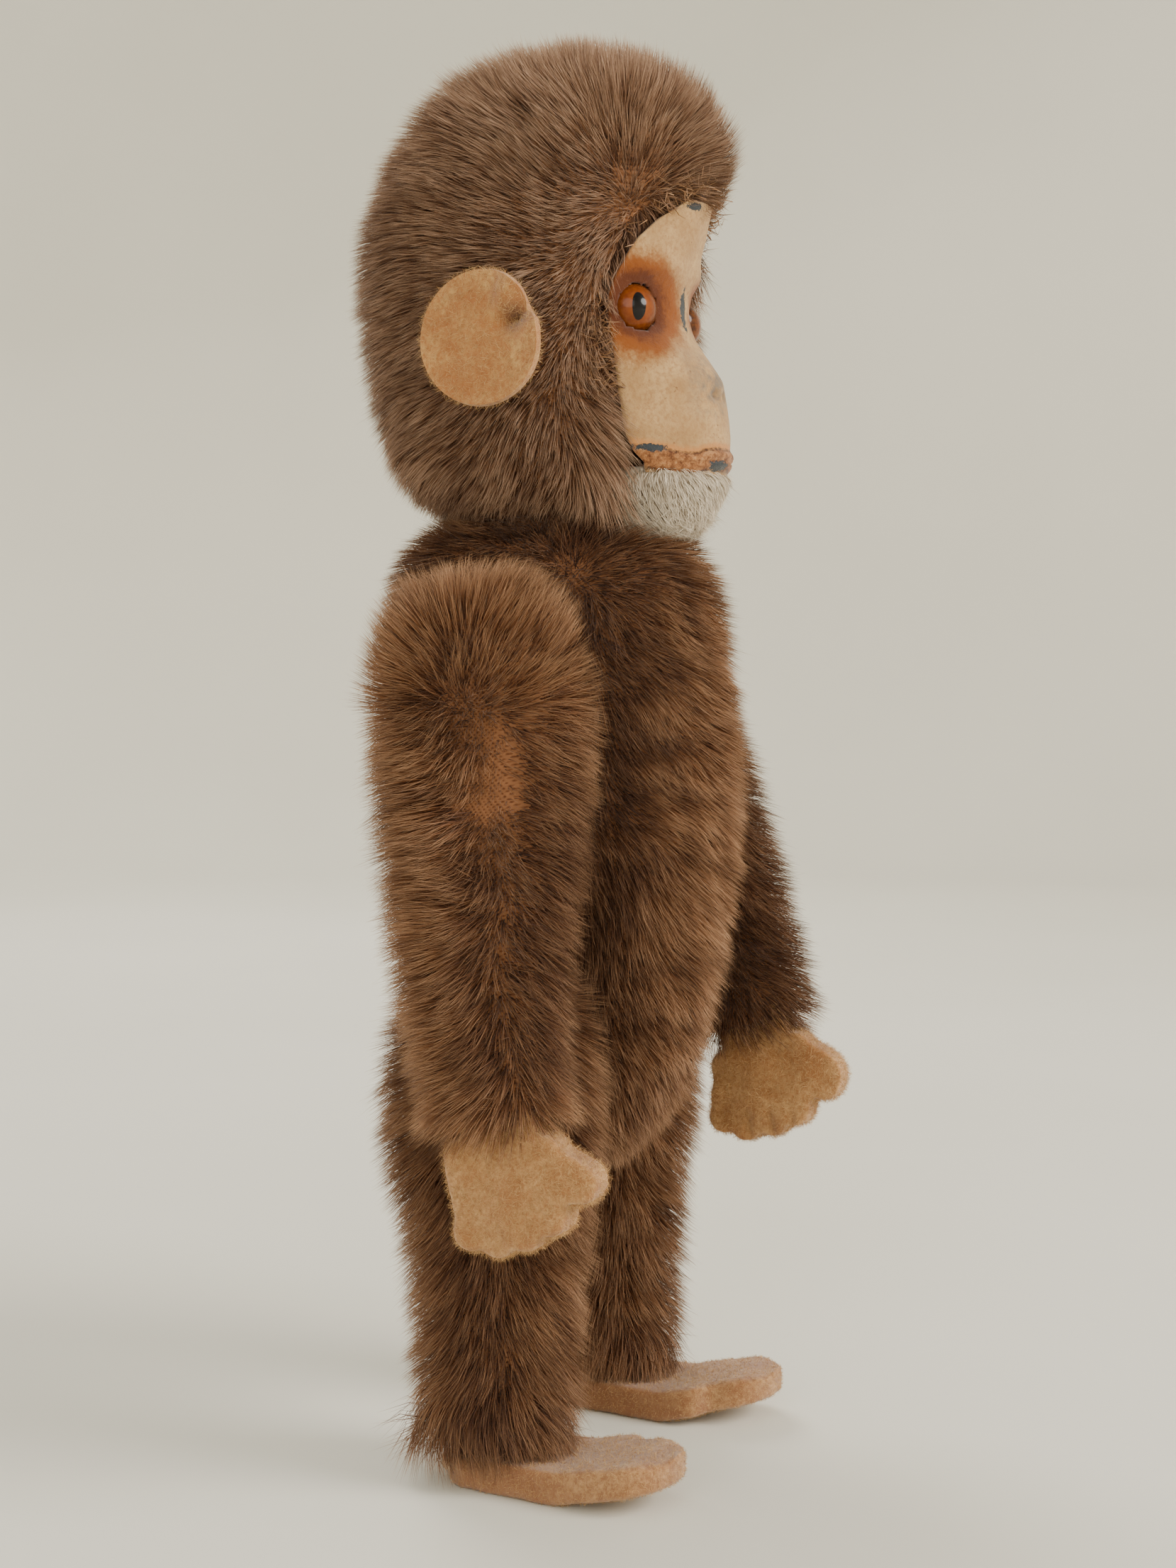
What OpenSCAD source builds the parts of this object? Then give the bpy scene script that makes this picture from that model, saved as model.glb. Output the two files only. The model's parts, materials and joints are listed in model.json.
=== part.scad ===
// Jointed mohair toy monkey, standing. Millimetres, +Z up, facing -Y.
// The origin is on the floor, under the middle of the whole toy.
// A sewn mohair cover holds each stuffed part. Five disc joints with split pins
// let the head, arms and legs turn against the trunk.

/* [Trunk] */
// Height of the neck joint above the floor
neck_z = 146.15; // [145.8:0.05:146.3]
// Height of the shoulder joints
shoulder_z = 122; // [121:0.5:122.5]
// Height of the hip joints
hip_z = 63; // [62.5:0.5:63.5]
// Distance of each shoulder joint from the middle of the trunk
shoulder_x = 18.15; // [18.15:0.05:18.4]
// Distance of each hip joint from the middle of the trunk
hip_x = 11.45; // [11.45:0.05:11.6]

/* [Pose] */
// How far the right arm hangs forward of straight down
right_arm_forward = 8; // [0:1:25]
// How far the left arm hangs forward of straight down
left_arm_forward = 19; // [0:1:25]

/* [Cloth and filling] */
// Thickness of a mohair cover, backing and pressed pile together
cover_wall = 2; // [1.6:0.1:2.2]
// Thickness of the pressed face
mask_wall = 0.8; // [0.6:0.1:1]
// Thickness of the stuffed felt hand
hand_thick = 5; // [4:0.5:5.5]
// Thickness of the stuffed felt foot
foot_thick = 8.6; // [8.2:0.1:9]
// Thickness of the felt round a foot's filling
foot_wall = 1.6; // [1.2:0.1:2]
// Thickness of a card insole
insole_thick = 1.2; // [0.8:0.1:1.4]
// Radius of an ear
ear_r = 9.8; // [9:0.1:10]
// Radius of a glass eye
eye_r = 4; // [3.8:0.1:4.1]

/* [Disc joints] */
// Diameter of a split pin's shank
pin_d = 2.4; // [2:0.1:2.6]
// Radial clearance of every bore round a split pin
bore_gap = 0.05; // [0.03:0.01:0.08]
// Thickness of a board disc
disc_thick = 2; // [1.5:0.1:2]
// Thickness of a steel washer
washer_thick = 0.8; // [0.6:0.1:0.8]
// Radius of a steel washer
washer_r = 5; // [4.5:0.1:6]
// Gap between two covers that turn against each other
joint_gap = 0.3; // [0.25:0.05:0.35]

/* [Hidden] */

pile = "saddlebrown";
excelsior = "khaki";
felt = "burlywood";
steel = "silver";
board = "peru";

origin_y = 4.55;       // moves the middle of the whole toy over the origin
fit = 0.15;            // space round a piece inside its cover
seam = 0.1;            // space between two pieces sewn edge to edge
tiny = 0.6;            // smallest half-width of a loft's end
sides = 24;            // sides of every soft cross-section
roundness = 2.3;       // 2 is an ellipse, more is boxier
far = 99;              // beyond everything
left_side = 1;
right_side = -1;

neck_disc_r = 11;
arm_disc_r = 6.5;
leg_disc_r = 6.9;
pin_r = pin_d / 2;
pin_bore_r = pin_r + bore_gap;
wire_r = pin_r * 0.4;   // radius of one leg of the split pin
leg_off = pin_r * 0.5;  // from the pin's axis to the middle of a leg
leg_overlap = 0.3;      // how far the shank reaches into its curled legs
pin_eye_r = 1.4;
pin_curl_r = 2.4;
hardware_depth = 9;    // room that a joint's pin end takes inside the stuffing

trunk_face = joint_gap / 2;    // from a joint's middle to the cover on either side
disc_at = trunk_face + cover_wall;
washer_at = disc_at + disc_thick;
pin_end_at = washer_at + washer_thick;

eye_x = 9;
eye_y = -17;
eye_z = 176;
eye_wire_r = 0.4;
eye_wire_len = 14;
eye_outward = 24;      // how far each eye looks out to its side
ear_x = 24.3;
ear_y = -1;
ear_z = 170.5;
ear_thick = 2.4;
ear_dish = 1.3;

// A row is [height, middle in x, half-width, half-depth in front, half-depth behind,
// least x, most x]. The last two cut the section flat where a joint's disc lies.
trunk_flat = shoulder_x - trunk_face;
hip_flat = hip_x - trunk_face;
body_rows = [for (r = [
    [44, 4, 7, 7, hip_flat], [46, 7.6, 12, 12, hip_flat], [49.5, 10.2, 16, 15.5, hip_flat],
    [54, 12.4, 20, 18.5, hip_flat], [63, 13.2, 24.5, 21.5, hip_flat],
    [72, 13.4, 27, 23.4, hip_flat], [79.5, 13.6, 28.2, 24.4, hip_flat],
    [86, 15.6, 29, 25, trunk_flat], [92, 18, 29.6, 25.6, trunk_flat],
    [100, 19.4, 30, 26, trunk_flat], [110, 18.8, 30, 26.4, trunk_flat],
    [122, 19.6, 28.6, 26.6, trunk_flat], [133, 19, 26.8, 26.2, trunk_flat],
    [138, 18, 25.2, 25.2, trunk_flat], [142, 16.4, 22.8, 23.2, trunk_flat],
    [145, 14, 19, 20, trunk_flat], [neck_z - trunk_face, 12.6, 16.4, 17.6, trunk_flat]
]) [r[0], 0, r[1], r[2], r[3], -r[4], r[4]]];

head_rows = [for (r = [
    [neck_z + trunk_face, 14.6, 16, 17], [149, 18.6, 18.6, 20.4], [153, 21, 20.4, 22.8],
    [158, 22.6, 21.6, 24.6], [164, 23.6, 22, 26], [170, 24, 21.6, 27], [178, 24, 20.8, 28.4],
    [184, 23.8, 21.6, 28.8], [189, 23.4, 23.6, 28.2], [193, 22.8, 25.6, 27],
    [199, 21, 27.6, 24.4], [204, 18.6, 26.6, 21.4], [208.5, 15.4, 23.6, 17.6],
    [212, 11.4, 19, 13.2], [214.6, 6.6, 12.6, 8], [216, 2.4, 6, 3.4]
]) [r[0], 0, r[1], r[2], r[3], -far, far]];

// The arm hangs from its joint at height 0 and leans outward, clear of the leg.
arm_in = shoulder_x + trunk_face;
arm_rows = [for (r = [
    [13, 26, 3.6, 5.4, 5.6, arm_in], [11.4, 26.2, 7, 9.6, 9.8, arm_in],
    [8, 26.4, 9.6, 13, 13.4, arm_in], [3, 26.4, 10.8, 15.2, 15.8, arm_in],
    [-4, 26.4, 11.1, 16.2, 17, arm_in], [-10, 26.6, 11.1, 16.2, 17, arm_in],
    [-18, 29.4, 9.4, 15.8, 16.2, 20.6], [-26, 31.6, 9, 14.8, 15, 23.4],
    [-35, 34.2, 8.4, 13.6, 13.8, 26.6], [-43, 36.4, 7.6, 12.4, 12.6, 29.4],
    [-50, 37, 7.4, 11.4, 11.2, 29.6], [-58, 36.8, 7.2, 11.2, 11, 29.6],
    [-64, 36.4, 6.8, 10.6, 10.6, 29.6], [-66, 36.4, 5.6, 9.4, 9.4, 29.6]
]) [r[0], r[1], r[2], r[3], r[4], r[5], far]];
hand_top = -60;        // where the hand's root ends inside the arm
hand_x = 36.4;
hand_root = 6;         // half-width of the hand's root
hand_root_low = -68;   // and where it starts, inside the hand
hand_drop = 6.3;       // from the arm's end down to the middle of the hand's outline

// The leg stands under its joint at height 0.
leg_in = hip_x + trunk_face;
leg_x = 20.5;
leg_rows = [for (r = [
    [15.5, leg_x, 3, 5, 5.4], [14, 20, 6, 8.8, 9.6], [11, 19.6, 8.6, 12.2, 13.4],
    [5, 19.5, 10.2, 14.8, 16.6], [-4, 19.5, 10.6, 15.8, 18], [-13, 20, 9.9, 15.4, 17.4],
    [-23, leg_x, 8.7, 14, 14.8], [-33, leg_x, 8.4, 12.8, 13], [-43, leg_x, 8.4, 12.4, 12.4],
    [-50, leg_x, 8.6, 13, 13], [foot_thick + seam - hip_z, leg_x, 8.6, 13.2, 13.2]
]) [r[0], r[1], r[2], r[3], r[4], leg_in, leg_x + 8.7]];
ankle_half_x = 4.6;
ankle_half_y = 8;
ankle_top = -44;       // where the ankle's plug of stuffing ends inside the leg
toe_bend = -13.3;      // the foot turns up in front of this
toe_slope = 0.27;

// The face: height, y on the middle line, half-width, y at the edge.
face_rows = [
    [151.6, -28.2, 11.2, -20.5], [154, -29, 12.8, -19.4], [157, -29.2, 14, -18.4],
    [162, -28.6, 14.2, -17.6], [165.5, -27.8, 14.4, -17], [168.4, -26.2, 14.4, -16.5],
    [171, -23.9, 14.4, -16.2], [174, -22.4, 14.4, -16], [178, -22.1, 14.2, -16.1],
    [182, -22.7, 13.2, -17], [186, -24.2, 11.3, -19], [190, -25.5, 7.8, -22.2],
    [192.4, -26, 4.4, -24.8]
];
face_steps = 14;

hollow_front = -50;    // in front of the whole head

// The chin: height, half-width, depth in front of its flat back.
chin_back = -20.6;
chin_rows = [
    [neck_z + trunk_face + seam, 7, 6.2], [147.4, 9.2, 7.6], [149.2, 10.4, 8.2], [151.4, 10.6, 8.2]
];

function power(v, p) = sign(v) * pow(abs(v), p);
function clamp(v, low, high) = min(max(v, low), high);

function ring(r) = [for (i = [0 : sides - 1])
    let (a = 360 * i / sides, c = power(cos(a), 2 / roundness), s = power(sin(a), 2 / roundness))
    [clamp(r[1] + r[2] * c, r[5], r[6]), (s < 0 ? r[3] : r[4]) * s, r[0]]];

// Rows drawn in by w all round, towards the middle height.
function inset(rows, w) =
    let (a = rows[0][0], b = rows[len(rows) - 1][0], mid = (a + b) / 2, k = 1 - 2 * w / abs(b - a))
    [for (r = rows) [mid + (r[0] - mid) * k, r[1], max(r[2] - w, tiny), max(r[3] - w, tiny),
        max(r[4] - w, tiny), r[5] + w, r[6] - w]];

// A closed solid through rings of points, given from the bottom up.
module skin(rings) {
    n = len(rings[0]);
    m = len(rings);
    around = [for (j = [0 : m - 2], i = [0 : n - 1])
        let (p = j * n + i, q = j * n + (i + 1) % n) each [[p, p + n, q], [q, p + n, q + n]]];
    bottom = [for (i = [1 : n - 2]) [0, i, i + 1]];
    top = [for (i = [1 : n - 2]) [(m - 1) * n, (m - 1) * n + i + 1, (m - 1) * n + i]];
    polyhedron([for (r = rings, p = r) p], concat(around, bottom, top));
}

module loft(rows) {
    up = rows[0][0] < rows[len(rows) - 1][0];
    ordered = up ? rows : [for (i = [len(rows) - 1 : -1 : 0]) rows[i]];
    skin([for (r = ordered) ring(r)]);
}

// A cover's cloth: the shell between two lofts.
module shell(rows) {
    difference() {
        loft(rows);
        loft(inset(rows, cover_wall));
    }
}

module filling(rows) {
    loft(inset(rows, cover_wall + fit));
}

module whole() {
    translate([0, origin_y, 0]) children();
}

// Places a joint's stack so that its +Z runs outward from the trunk.
module at_neck() { translate([0, 0, neck_z]) children(); }

module at_shoulder(side) {
    translate([side * shoulder_x, 0, shoulder_z]) rotate([0, side * 90, 0]) children();
}

module at_hip(side) { translate([side * hip_x, 0, hip_z]) rotate([0, side * 90, 0]) children(); }

module arm_place(side) {
    forward = side == left_side ? left_arm_forward : right_arm_forward;
    translate([0, 0, shoulder_z]) rotate([-forward, 0, 0])
        mirror([side == left_side ? 0 : 1, 0, 0]) children();
}

module leg_place(side) {
    translate([0, 0, hip_z]) mirror([side == left_side ? 0 : 1, 0, 0]) children();
}

// Pieces of a disc joint, about the joint's middle.
module bored_plate(r, thick, z) {
    translate([0, 0, z]) difference() {
        cylinder(r = r, h = thick, $fn = 96);
        translate([0, 0, -1]) cylinder(r = pin_bore_r, h = thick + 2, $fn = 48);
    }
}

module outer_disc(r) { color(board) bored_plate(r, disc_thick, disc_at); }
module inner_disc(r) { color(board) bored_plate(r, disc_thick, -disc_at - disc_thick); }
module outer_washer() { color(steel) bored_plate(washer_r, washer_thick, washer_at); }
module inner_washer() { color(steel) bored_plate(washer_r, washer_thick, -pin_end_at); }

module pin_bore() { cylinder(r = pin_bore_r, h = 6 * disc_at, center = true, $fn = 48); }

// Room in the stuffing for a joint's discs, washers and pin, outward or inward.
module outer_room(r) {
    translate([0, 0, disc_at - 1]) cylinder(r = r + fit, h = disc_thick + 1 + fit, $fn = 96);
    translate([0, 0, disc_at]) cylinder(r = washer_r + 2 * pin_r, h = hardware_depth, $fn = 48);
}

module inner_room(r) { mirror([0, 0, 1]) outer_room(r); }

// Where a disc's edge beds into a limb's cover.
module disc_bed(r) {
    translate([0, 0, disc_at]) cylinder(r = r + seam, h = disc_thick + seam, $fn = 96);
}

// A split pin: an eye at the trunk end, two legs curled back at the other.
module split_pin() {
    eye_at = -pin_end_at - seam - pin_eye_r - wire_r;
    curl_at = pin_end_at + joint_gap + wire_r + seam;
    shank_from = -pin_end_at - seam - wire_r;
    color(steel) union() {
        translate([0, 0, shank_from])
            cylinder(r = pin_r, h = curl_at + leg_overlap - shank_from, $fn = 48);
        translate([0, 0, eye_at]) rotate([90, 0, 0])
            rotate_extrude($fn = 48) translate([pin_eye_r, 0]) circle(r = wire_r, $fn = 24);
        for (s = [0, 180]) rotate([0, 0, s]) translate([pin_curl_r + leg_off, 0, curl_at])
            rotate([90, 0, 0]) rotate_extrude(angle = 180, $fn = 48)
                translate([pin_curl_r, 0]) circle(r = wire_r, $fn = 24);
    }
}

// Face
function face_at(z, u) =
    let (mid = lookup(z, [for (r = face_rows) [r[0], r[1]]]),
         half = lookup(z, [for (r = face_rows) [r[0], r[2]]]),
         edge = lookup(z, [for (r = face_rows) [r[0], r[3]]]))
    [u * half, mid + (edge - mid) * u * u, z];

function two_triangles(q) = [[q[0], q[1], q[2]], [q[0], q[2], q[3]]];

// The pressed face: the grid of face_at points, with a second skin behind the first.
module face_plate() {
    low = face_rows[0][0];
    high = face_rows[len(face_rows) - 1][0];
    e = face_steps;
    n = e + 1;
    back = n * n;
    front_points = [for (j = [0 : e], i = [0 : e])
        face_at(low + (high - low) * j / e, -1 + 2 * i / e)];
    faces = [for (j = [0 : e - 1], i = [0 : e - 1]) let (p = j * n + i) each concat(
        two_triangles([p, p + n, p + n + 1, p + 1]),
        two_triangles([back + p, back + p + 1, back + p + n + 1, back + p + n]))];
    rim = [for (i = [0 : e - 1]) let (t = e * n + i, l = i * n, r = i * n + e) each concat(
        two_triangles([i, i + 1, back + i + 1, back + i]),
        two_triangles([t + 1, t, back + t, back + t + 1]),
        two_triangles([l + n, l, back + l, back + l + n]),
        two_triangles([r, r + n, back + r + n, back + r]))];
    polyhedron(concat(front_points, [for (p = front_points) p + [0, mask_wall, 0]]),
        concat(faces, rim));
}

module at_eye(side) {
    translate([side * eye_x, eye_y, eye_z]) rotate([0, 0, side * eye_outward]) children();
}

// The hollow behind the pressed face: its side profile crossed with its front outline.
module face_hollow() {
    intersection() {
        rotate([90, 0, 90]) linear_extrude(4 * eye_x, center = true) polygon([
            [hollow_front, 151.3], [-18.9, 151.3], [-14.8, 162], [-12.7, 172], [-12.7, 181],
            [-17.6, 187], [-23.4, 192.9], [hollow_front, 192.9]]);
        rotate([90, 0, 0]) linear_extrude(60) polygon([
            [-12.6, 151], [12.6, 151], [14.9, 157], [14.9, 179], [12, 187], [5.2, 192.9],
            [-5.2, 192.9], [-12, 187], [-14.9, 179], [-14.9, 157]]);
    }
}

module eye_wire_room() {
    for (side = [left_side, right_side]) at_eye(side)
        rotate([-90, 0, 0]) cylinder(r = eye_wire_r + 1 + 3 * fit, h = eye_wire_len + 2, $fn = 24);
}

// Half an ellipse at each height, flat behind.
module chin_solid() {
    skin([for (r = chin_rows) [for (i = [0 : sides / 2])
        let (a = 180 + 360 * i / sides) [r[1] * cos(a), chin_back + r[2] * sin(a), r[0]]]]);
}

module head_cover() {
    color(pile) whole() difference() {
        shell(head_rows);
        face_hollow();
        at_neck() pin_bore();
    }
}

module head_stuffing() {
    color(excelsior) whole() difference() {
        filling(head_rows);
        face_hollow();
        eye_wire_room();
        at_neck() outer_room(neck_disc_r);
    }
}

module face_mask() {
    color("tan") whole() difference() {
        face_plate();
        for (side = [left_side, right_side]) at_eye(side) sphere(r = eye_r + fit, $fn = 64);
    }
}

module chin_beard() {
    color("antiquewhite") whole() chin_solid();
}

module eye(side) { color("darkgoldenrod") whole() at_eye(side) sphere(r = eye_r, $fn = 64); }
module right_eye() { eye(right_side); }
module left_eye() { eye(left_side); }

// A wire shank behind each glass eye, bent to a loop that is sewn into the head.
module eye_wires() {
    color(steel) whole() for (side = [left_side, right_side]) at_eye(side) {
        rotate([-90, 0, 0]) translate([0, 0, eye_r + seam])
            cylinder(r = eye_wire_r, h = eye_wire_len - eye_r - 2, $fn = 24);
        translate([0, eye_wire_len - 1, 0])
            rotate_extrude($fn = 32) translate([1, 0]) circle(r = eye_wire_r, $fn = 16);
    }
}

// A dished felt disc that lies against the side of the head.
module ear(side) {
    bowl_r = (ear_r * ear_r + ear_dish * ear_dish) / (2 * ear_dish);
    color(felt) whole() translate([side * ear_x, ear_y, ear_z]) rotate([0, side * 90, 0])
        difference() {
            cylinder(r = ear_r, h = ear_thick, $fn = 96);
            translate([0, 0, ear_thick - ear_dish + bowl_r]) sphere(r = bowl_r, $fn = 96);
        }
}
module right_ear() { ear(right_side); }
module left_ear() { ear(left_side); }

module neck_head_disc() { whole() at_neck() outer_disc(neck_disc_r); }
module neck_head_washer() { whole() at_neck() outer_washer(); }

// Trunk
module body_cover() {
    color(pile) whole() difference() {
        shell(body_rows);
        at_neck() pin_bore();
        for (side = [left_side, right_side]) {
            at_shoulder(side) pin_bore();
            at_hip(side) pin_bore();
        }
    }
}

module body_stuffing() {
    color(excelsior) whole() difference() {
        filling(body_rows);
        at_neck() inner_room(neck_disc_r);
        for (side = [left_side, right_side]) {
            at_shoulder(side) inner_room(arm_disc_r);
            at_hip(side) inner_room(leg_disc_r);
        }
    }
}

module neck_pin() { whole() at_neck() split_pin(); }
module neck_body_disc() { whole() at_neck() inner_disc(neck_disc_r); }
module neck_body_washer() { whole() at_neck() inner_washer(); }

module right_shoulder_pin() { whole() at_shoulder(right_side) split_pin(); }
module right_shoulder_body_disc() { whole() at_shoulder(right_side) inner_disc(arm_disc_r); }
module right_shoulder_body_washer() { whole() at_shoulder(right_side) inner_washer(); }
module left_shoulder_pin() { whole() at_shoulder(left_side) split_pin(); }
module left_shoulder_body_disc() { whole() at_shoulder(left_side) inner_disc(arm_disc_r); }
module left_shoulder_body_washer() { whole() at_shoulder(left_side) inner_washer(); }

module right_hip_pin() { whole() at_hip(right_side) split_pin(); }
module right_hip_body_disc() { whole() at_hip(right_side) inner_disc(leg_disc_r); }
module right_hip_body_washer() { whole() at_hip(right_side) inner_washer(); }
module left_hip_pin() { whole() at_hip(left_side) split_pin(); }
module left_hip_body_disc() { whole() at_hip(left_side) inner_disc(leg_disc_r); }
module left_hip_body_washer() { whole() at_hip(left_side) inner_washer(); }

// Arms
module hand_outline() {
    hull() {
        for (p = [[-6.6, 3.4], [6.4, 3.4]]) translate(p) circle(r = 2.8, $fn = 32);
        for (p = [[-6.8, -4], [6, -5]]) translate(p) circle(r = 2.6, $fn = 32);
    }
    for (p = [[-6.4, -5.6], [-2.2, -7.6], [2.4, -8.4], [6.2, -7.2]])
        translate(p) circle(r = 2.9, $fn = 32);
    translate([-6, -7]) square([12, 6]);
    hull() {
        translate([-5, 2.4]) circle(r = 3.6, $fn = 32);
        translate([-11.6, -1.2]) circle(r = 3, $fn = 32);
    }
}

module hand_root(grow) {
    translate([hand_x - hand_thick / 2 + 0.4 - grow, -hand_root - grow, hand_root_low])
        cube([hand_thick - 0.8 + 2 * grow, 2 * (hand_root + grow),
            hand_top - hand_root_low + grow]);
}

module arm_cover(side) {
    color(pile) whole() difference() {
        arm_place(side) difference() {
            shell(arm_rows);
            hand_root(seam);
        }
        at_shoulder(side) {
            pin_bore();
            disc_bed(arm_disc_r);
        }
    }
}

module arm_stuffing(side) {
    color(excelsior) whole() difference() {
        arm_place(side) difference() {
            filling(arm_rows);
            hand_root(fit);
        }
        at_shoulder(side) outer_room(arm_disc_r);
    }
}

// A flat felt mitt: four short scalloped fingers, the thumb in front.
module hand(side) {
    color(felt) whole() arm_place(side) {
        translate([hand_x - hand_thick / 2, 0, arm_rows[len(arm_rows) - 1][0] - hand_drop - seam])
            rotate([90, 0, 90]) linear_extrude(hand_thick) hand_outline();
        hand_root(0);
    }
}

module right_arm_cover() { arm_cover(right_side); }
module right_arm_stuffing() { arm_stuffing(right_side); }
module right_hand() { hand(right_side); }
module right_arm_disc() { whole() at_shoulder(right_side) outer_disc(arm_disc_r); }
module right_arm_washer() { whole() at_shoulder(right_side) outer_washer(); }
module left_arm_cover() { arm_cover(left_side); }
module left_arm_stuffing() { arm_stuffing(left_side); }
module left_hand() { hand(left_side); }
module left_arm_disc() { whole() at_shoulder(left_side) outer_disc(arm_disc_r); }
module left_arm_washer() { whole() at_shoulder(left_side) outer_washer(); }

// Legs
module ankle(grow, low, high) {
    translate([leg_x, 0, low]) linear_extrude(high - low)
        polygon([for (i = [0 : sides - 1]) [(ankle_half_x - grow) * cos(360 * i / sides),
            (ankle_half_y - grow) * sin(360 * i / sides)]]);
}

// Sole outline: a narrow heel, a broad front and a separate big toe on the inner side.
module foot_outline() {
    hull() {
        translate([0, 3.6]) circle(r = 6.8, $fn = 48);
        translate([1, -23]) circle(r = 7.7, $fn = 48);
    }
    hull() {
        translate([-1, -1]) circle(r = 7, $fn = 48);
        translate([-6.2, -18]) circle(r = 3.4, $fn = 32);
    }
}

module foot_layer(inward, low, thick) {
    translate([leg_x, 0, low - hip_z]) linear_extrude(thick) offset(r = -inward) foot_outline();
}

// Turns up what lies in front of toe_bend.
module turned_up() {
    intersection() {
        children();
        translate([-far, toe_bend - seam, -far]) cube(2 * far);
    }
    multmatrix([[1, 0, 0, 0], [0, 1, 0, 0], [0, -toe_slope, 1, toe_slope * toe_bend]])
        intersection() {
            children();
            translate([-far, toe_bend - 2 * far, -far]) cube(2 * far);
        }
}

module leg_cover(side) {
    color(pile) whole() difference() {
        leg_place(side) difference() {
            shell(leg_rows);
            ankle(0, -hip_z, ankle_top);
        }
        at_hip(side) {
            pin_bore();
            disc_bed(leg_disc_r);
        }
    }
}

module leg_stuffing(side) {
    color(excelsior) whole() difference() {
        leg_place(side) union() {
            filling(leg_rows);
            ankle(fit, foot_wall + insole_thick + 1 - hip_z, ankle_top);
            turned_up() foot_layer(foot_wall + fit, foot_wall + insole_thick + seam,
                foot_thick - 2 * foot_wall - insole_thick - 2 * seam);
        }
        at_hip(side) outer_room(leg_disc_r);
    }
}

module foot(side) {
    color(felt) whole() leg_place(side) difference() {
        turned_up() foot_layer(0, 0, foot_thick);
        turned_up() foot_layer(foot_wall, foot_wall, foot_thick - 2 * foot_wall);
        ankle(0, foot_wall + 1 - hip_z, 1 + foot_thick - hip_z);
    }
}

module insole(side) {
    color("tan") whole() leg_place(side) turned_up()
        foot_layer(foot_wall + fit, foot_wall, insole_thick);
}

module right_leg_cover() { leg_cover(right_side); }
module right_leg_stuffing() { leg_stuffing(right_side); }
module right_foot() { foot(right_side); }
module right_insole() { insole(right_side); }
module right_leg_disc() { whole() at_hip(right_side) outer_disc(leg_disc_r); }
module right_leg_washer() { whole() at_hip(right_side) outer_washer(); }
module left_leg_cover() { leg_cover(left_side); }
module left_leg_stuffing() { leg_stuffing(left_side); }
module left_foot() { foot(left_side); }
module left_insole() { insole(left_side); }
module left_leg_disc() { whole() at_hip(left_side) outer_disc(leg_disc_r); }
module left_leg_washer() { whole() at_hip(left_side) outer_washer(); }

head_cover();
head_stuffing();
face_mask();
chin_beard();
right_eye();
left_eye();
eye_wires();
right_ear();
left_ear();
neck_head_disc();
neck_head_washer();
body_cover();
body_stuffing();
neck_pin();
neck_body_disc();
neck_body_washer();
right_shoulder_pin();
right_shoulder_body_disc();
right_shoulder_body_washer();
left_shoulder_pin();
left_shoulder_body_disc();
left_shoulder_body_washer();
right_hip_pin();
right_hip_body_disc();
right_hip_body_washer();
left_hip_pin();
left_hip_body_disc();
left_hip_body_washer();
right_arm_cover();
right_arm_stuffing();
right_hand();
right_arm_disc();
right_arm_washer();
left_arm_cover();
left_arm_stuffing();
left_hand();
left_arm_disc();
left_arm_washer();
right_leg_cover();
right_leg_stuffing();
right_foot();
right_insole();
right_leg_disc();
right_leg_washer();
left_leg_cover();
left_leg_stuffing();
left_foot();
left_insole();
left_leg_disc();
left_leg_washer();
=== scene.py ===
"""A standing, disc-jointed mohair toy monkey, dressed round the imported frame.

Every length is in metres; MM turns millimetres into them. The toy faces -Y and stands on z = 0.
"""

import json
import math

import bmesh
import bpy
import numpy as np
from mathutils import Matrix, Vector
from mathutils.bvhtree import BVHTree
from mathutils.kdtree import KDTree


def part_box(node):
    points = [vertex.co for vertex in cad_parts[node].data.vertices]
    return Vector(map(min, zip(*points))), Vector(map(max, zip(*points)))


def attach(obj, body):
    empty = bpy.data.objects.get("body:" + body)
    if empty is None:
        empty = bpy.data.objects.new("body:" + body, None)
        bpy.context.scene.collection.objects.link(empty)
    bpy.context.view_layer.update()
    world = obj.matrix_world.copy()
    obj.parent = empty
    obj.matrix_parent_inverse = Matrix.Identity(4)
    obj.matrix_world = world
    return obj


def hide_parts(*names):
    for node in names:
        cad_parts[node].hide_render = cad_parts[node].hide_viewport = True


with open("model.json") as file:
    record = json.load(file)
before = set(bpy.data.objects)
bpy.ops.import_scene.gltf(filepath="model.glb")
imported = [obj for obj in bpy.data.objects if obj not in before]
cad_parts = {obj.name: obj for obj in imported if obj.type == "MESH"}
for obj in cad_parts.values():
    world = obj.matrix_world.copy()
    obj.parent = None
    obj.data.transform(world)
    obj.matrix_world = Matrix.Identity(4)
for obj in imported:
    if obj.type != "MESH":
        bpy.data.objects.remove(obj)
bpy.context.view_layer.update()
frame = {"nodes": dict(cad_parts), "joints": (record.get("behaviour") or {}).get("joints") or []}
MM = 0.001
NODES = frame["nodes"]
SIDES = {"right": -1, "left": 1}
JOINTS = {j["name"]: j for j in frame["joints"]}


def joint_place(name):
    return np.array(JOINTS[name]["pos_m"], float)


AXIS_Y = joint_place("neck_turn")[1]      # the toy's middle plane runs through x = 0, this is its y

# ---------------------------------------------------------------- camera, light and stage

CAMERA_TURN = math.radians(-65)           # the toy is seen from its right front
CAMERA_AWAY = 0.350
CAMERA_HEIGHT = 0.123
AIM_HEIGHT = 0.1043
AIM_ASIDE = 0.0056                        # the toy stands a little left of the picture's middle
LENS_MM = 51.0


def in_scene(name, data):
    made = bpy.data.objects.new(name, data)
    bpy.context.scene.collection.objects.link(made)
    return made


def look_at(thing, aim):
    thing.rotation_euler = (aim - thing.location).to_track_quat("-Z", "Y").to_euler()


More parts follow.
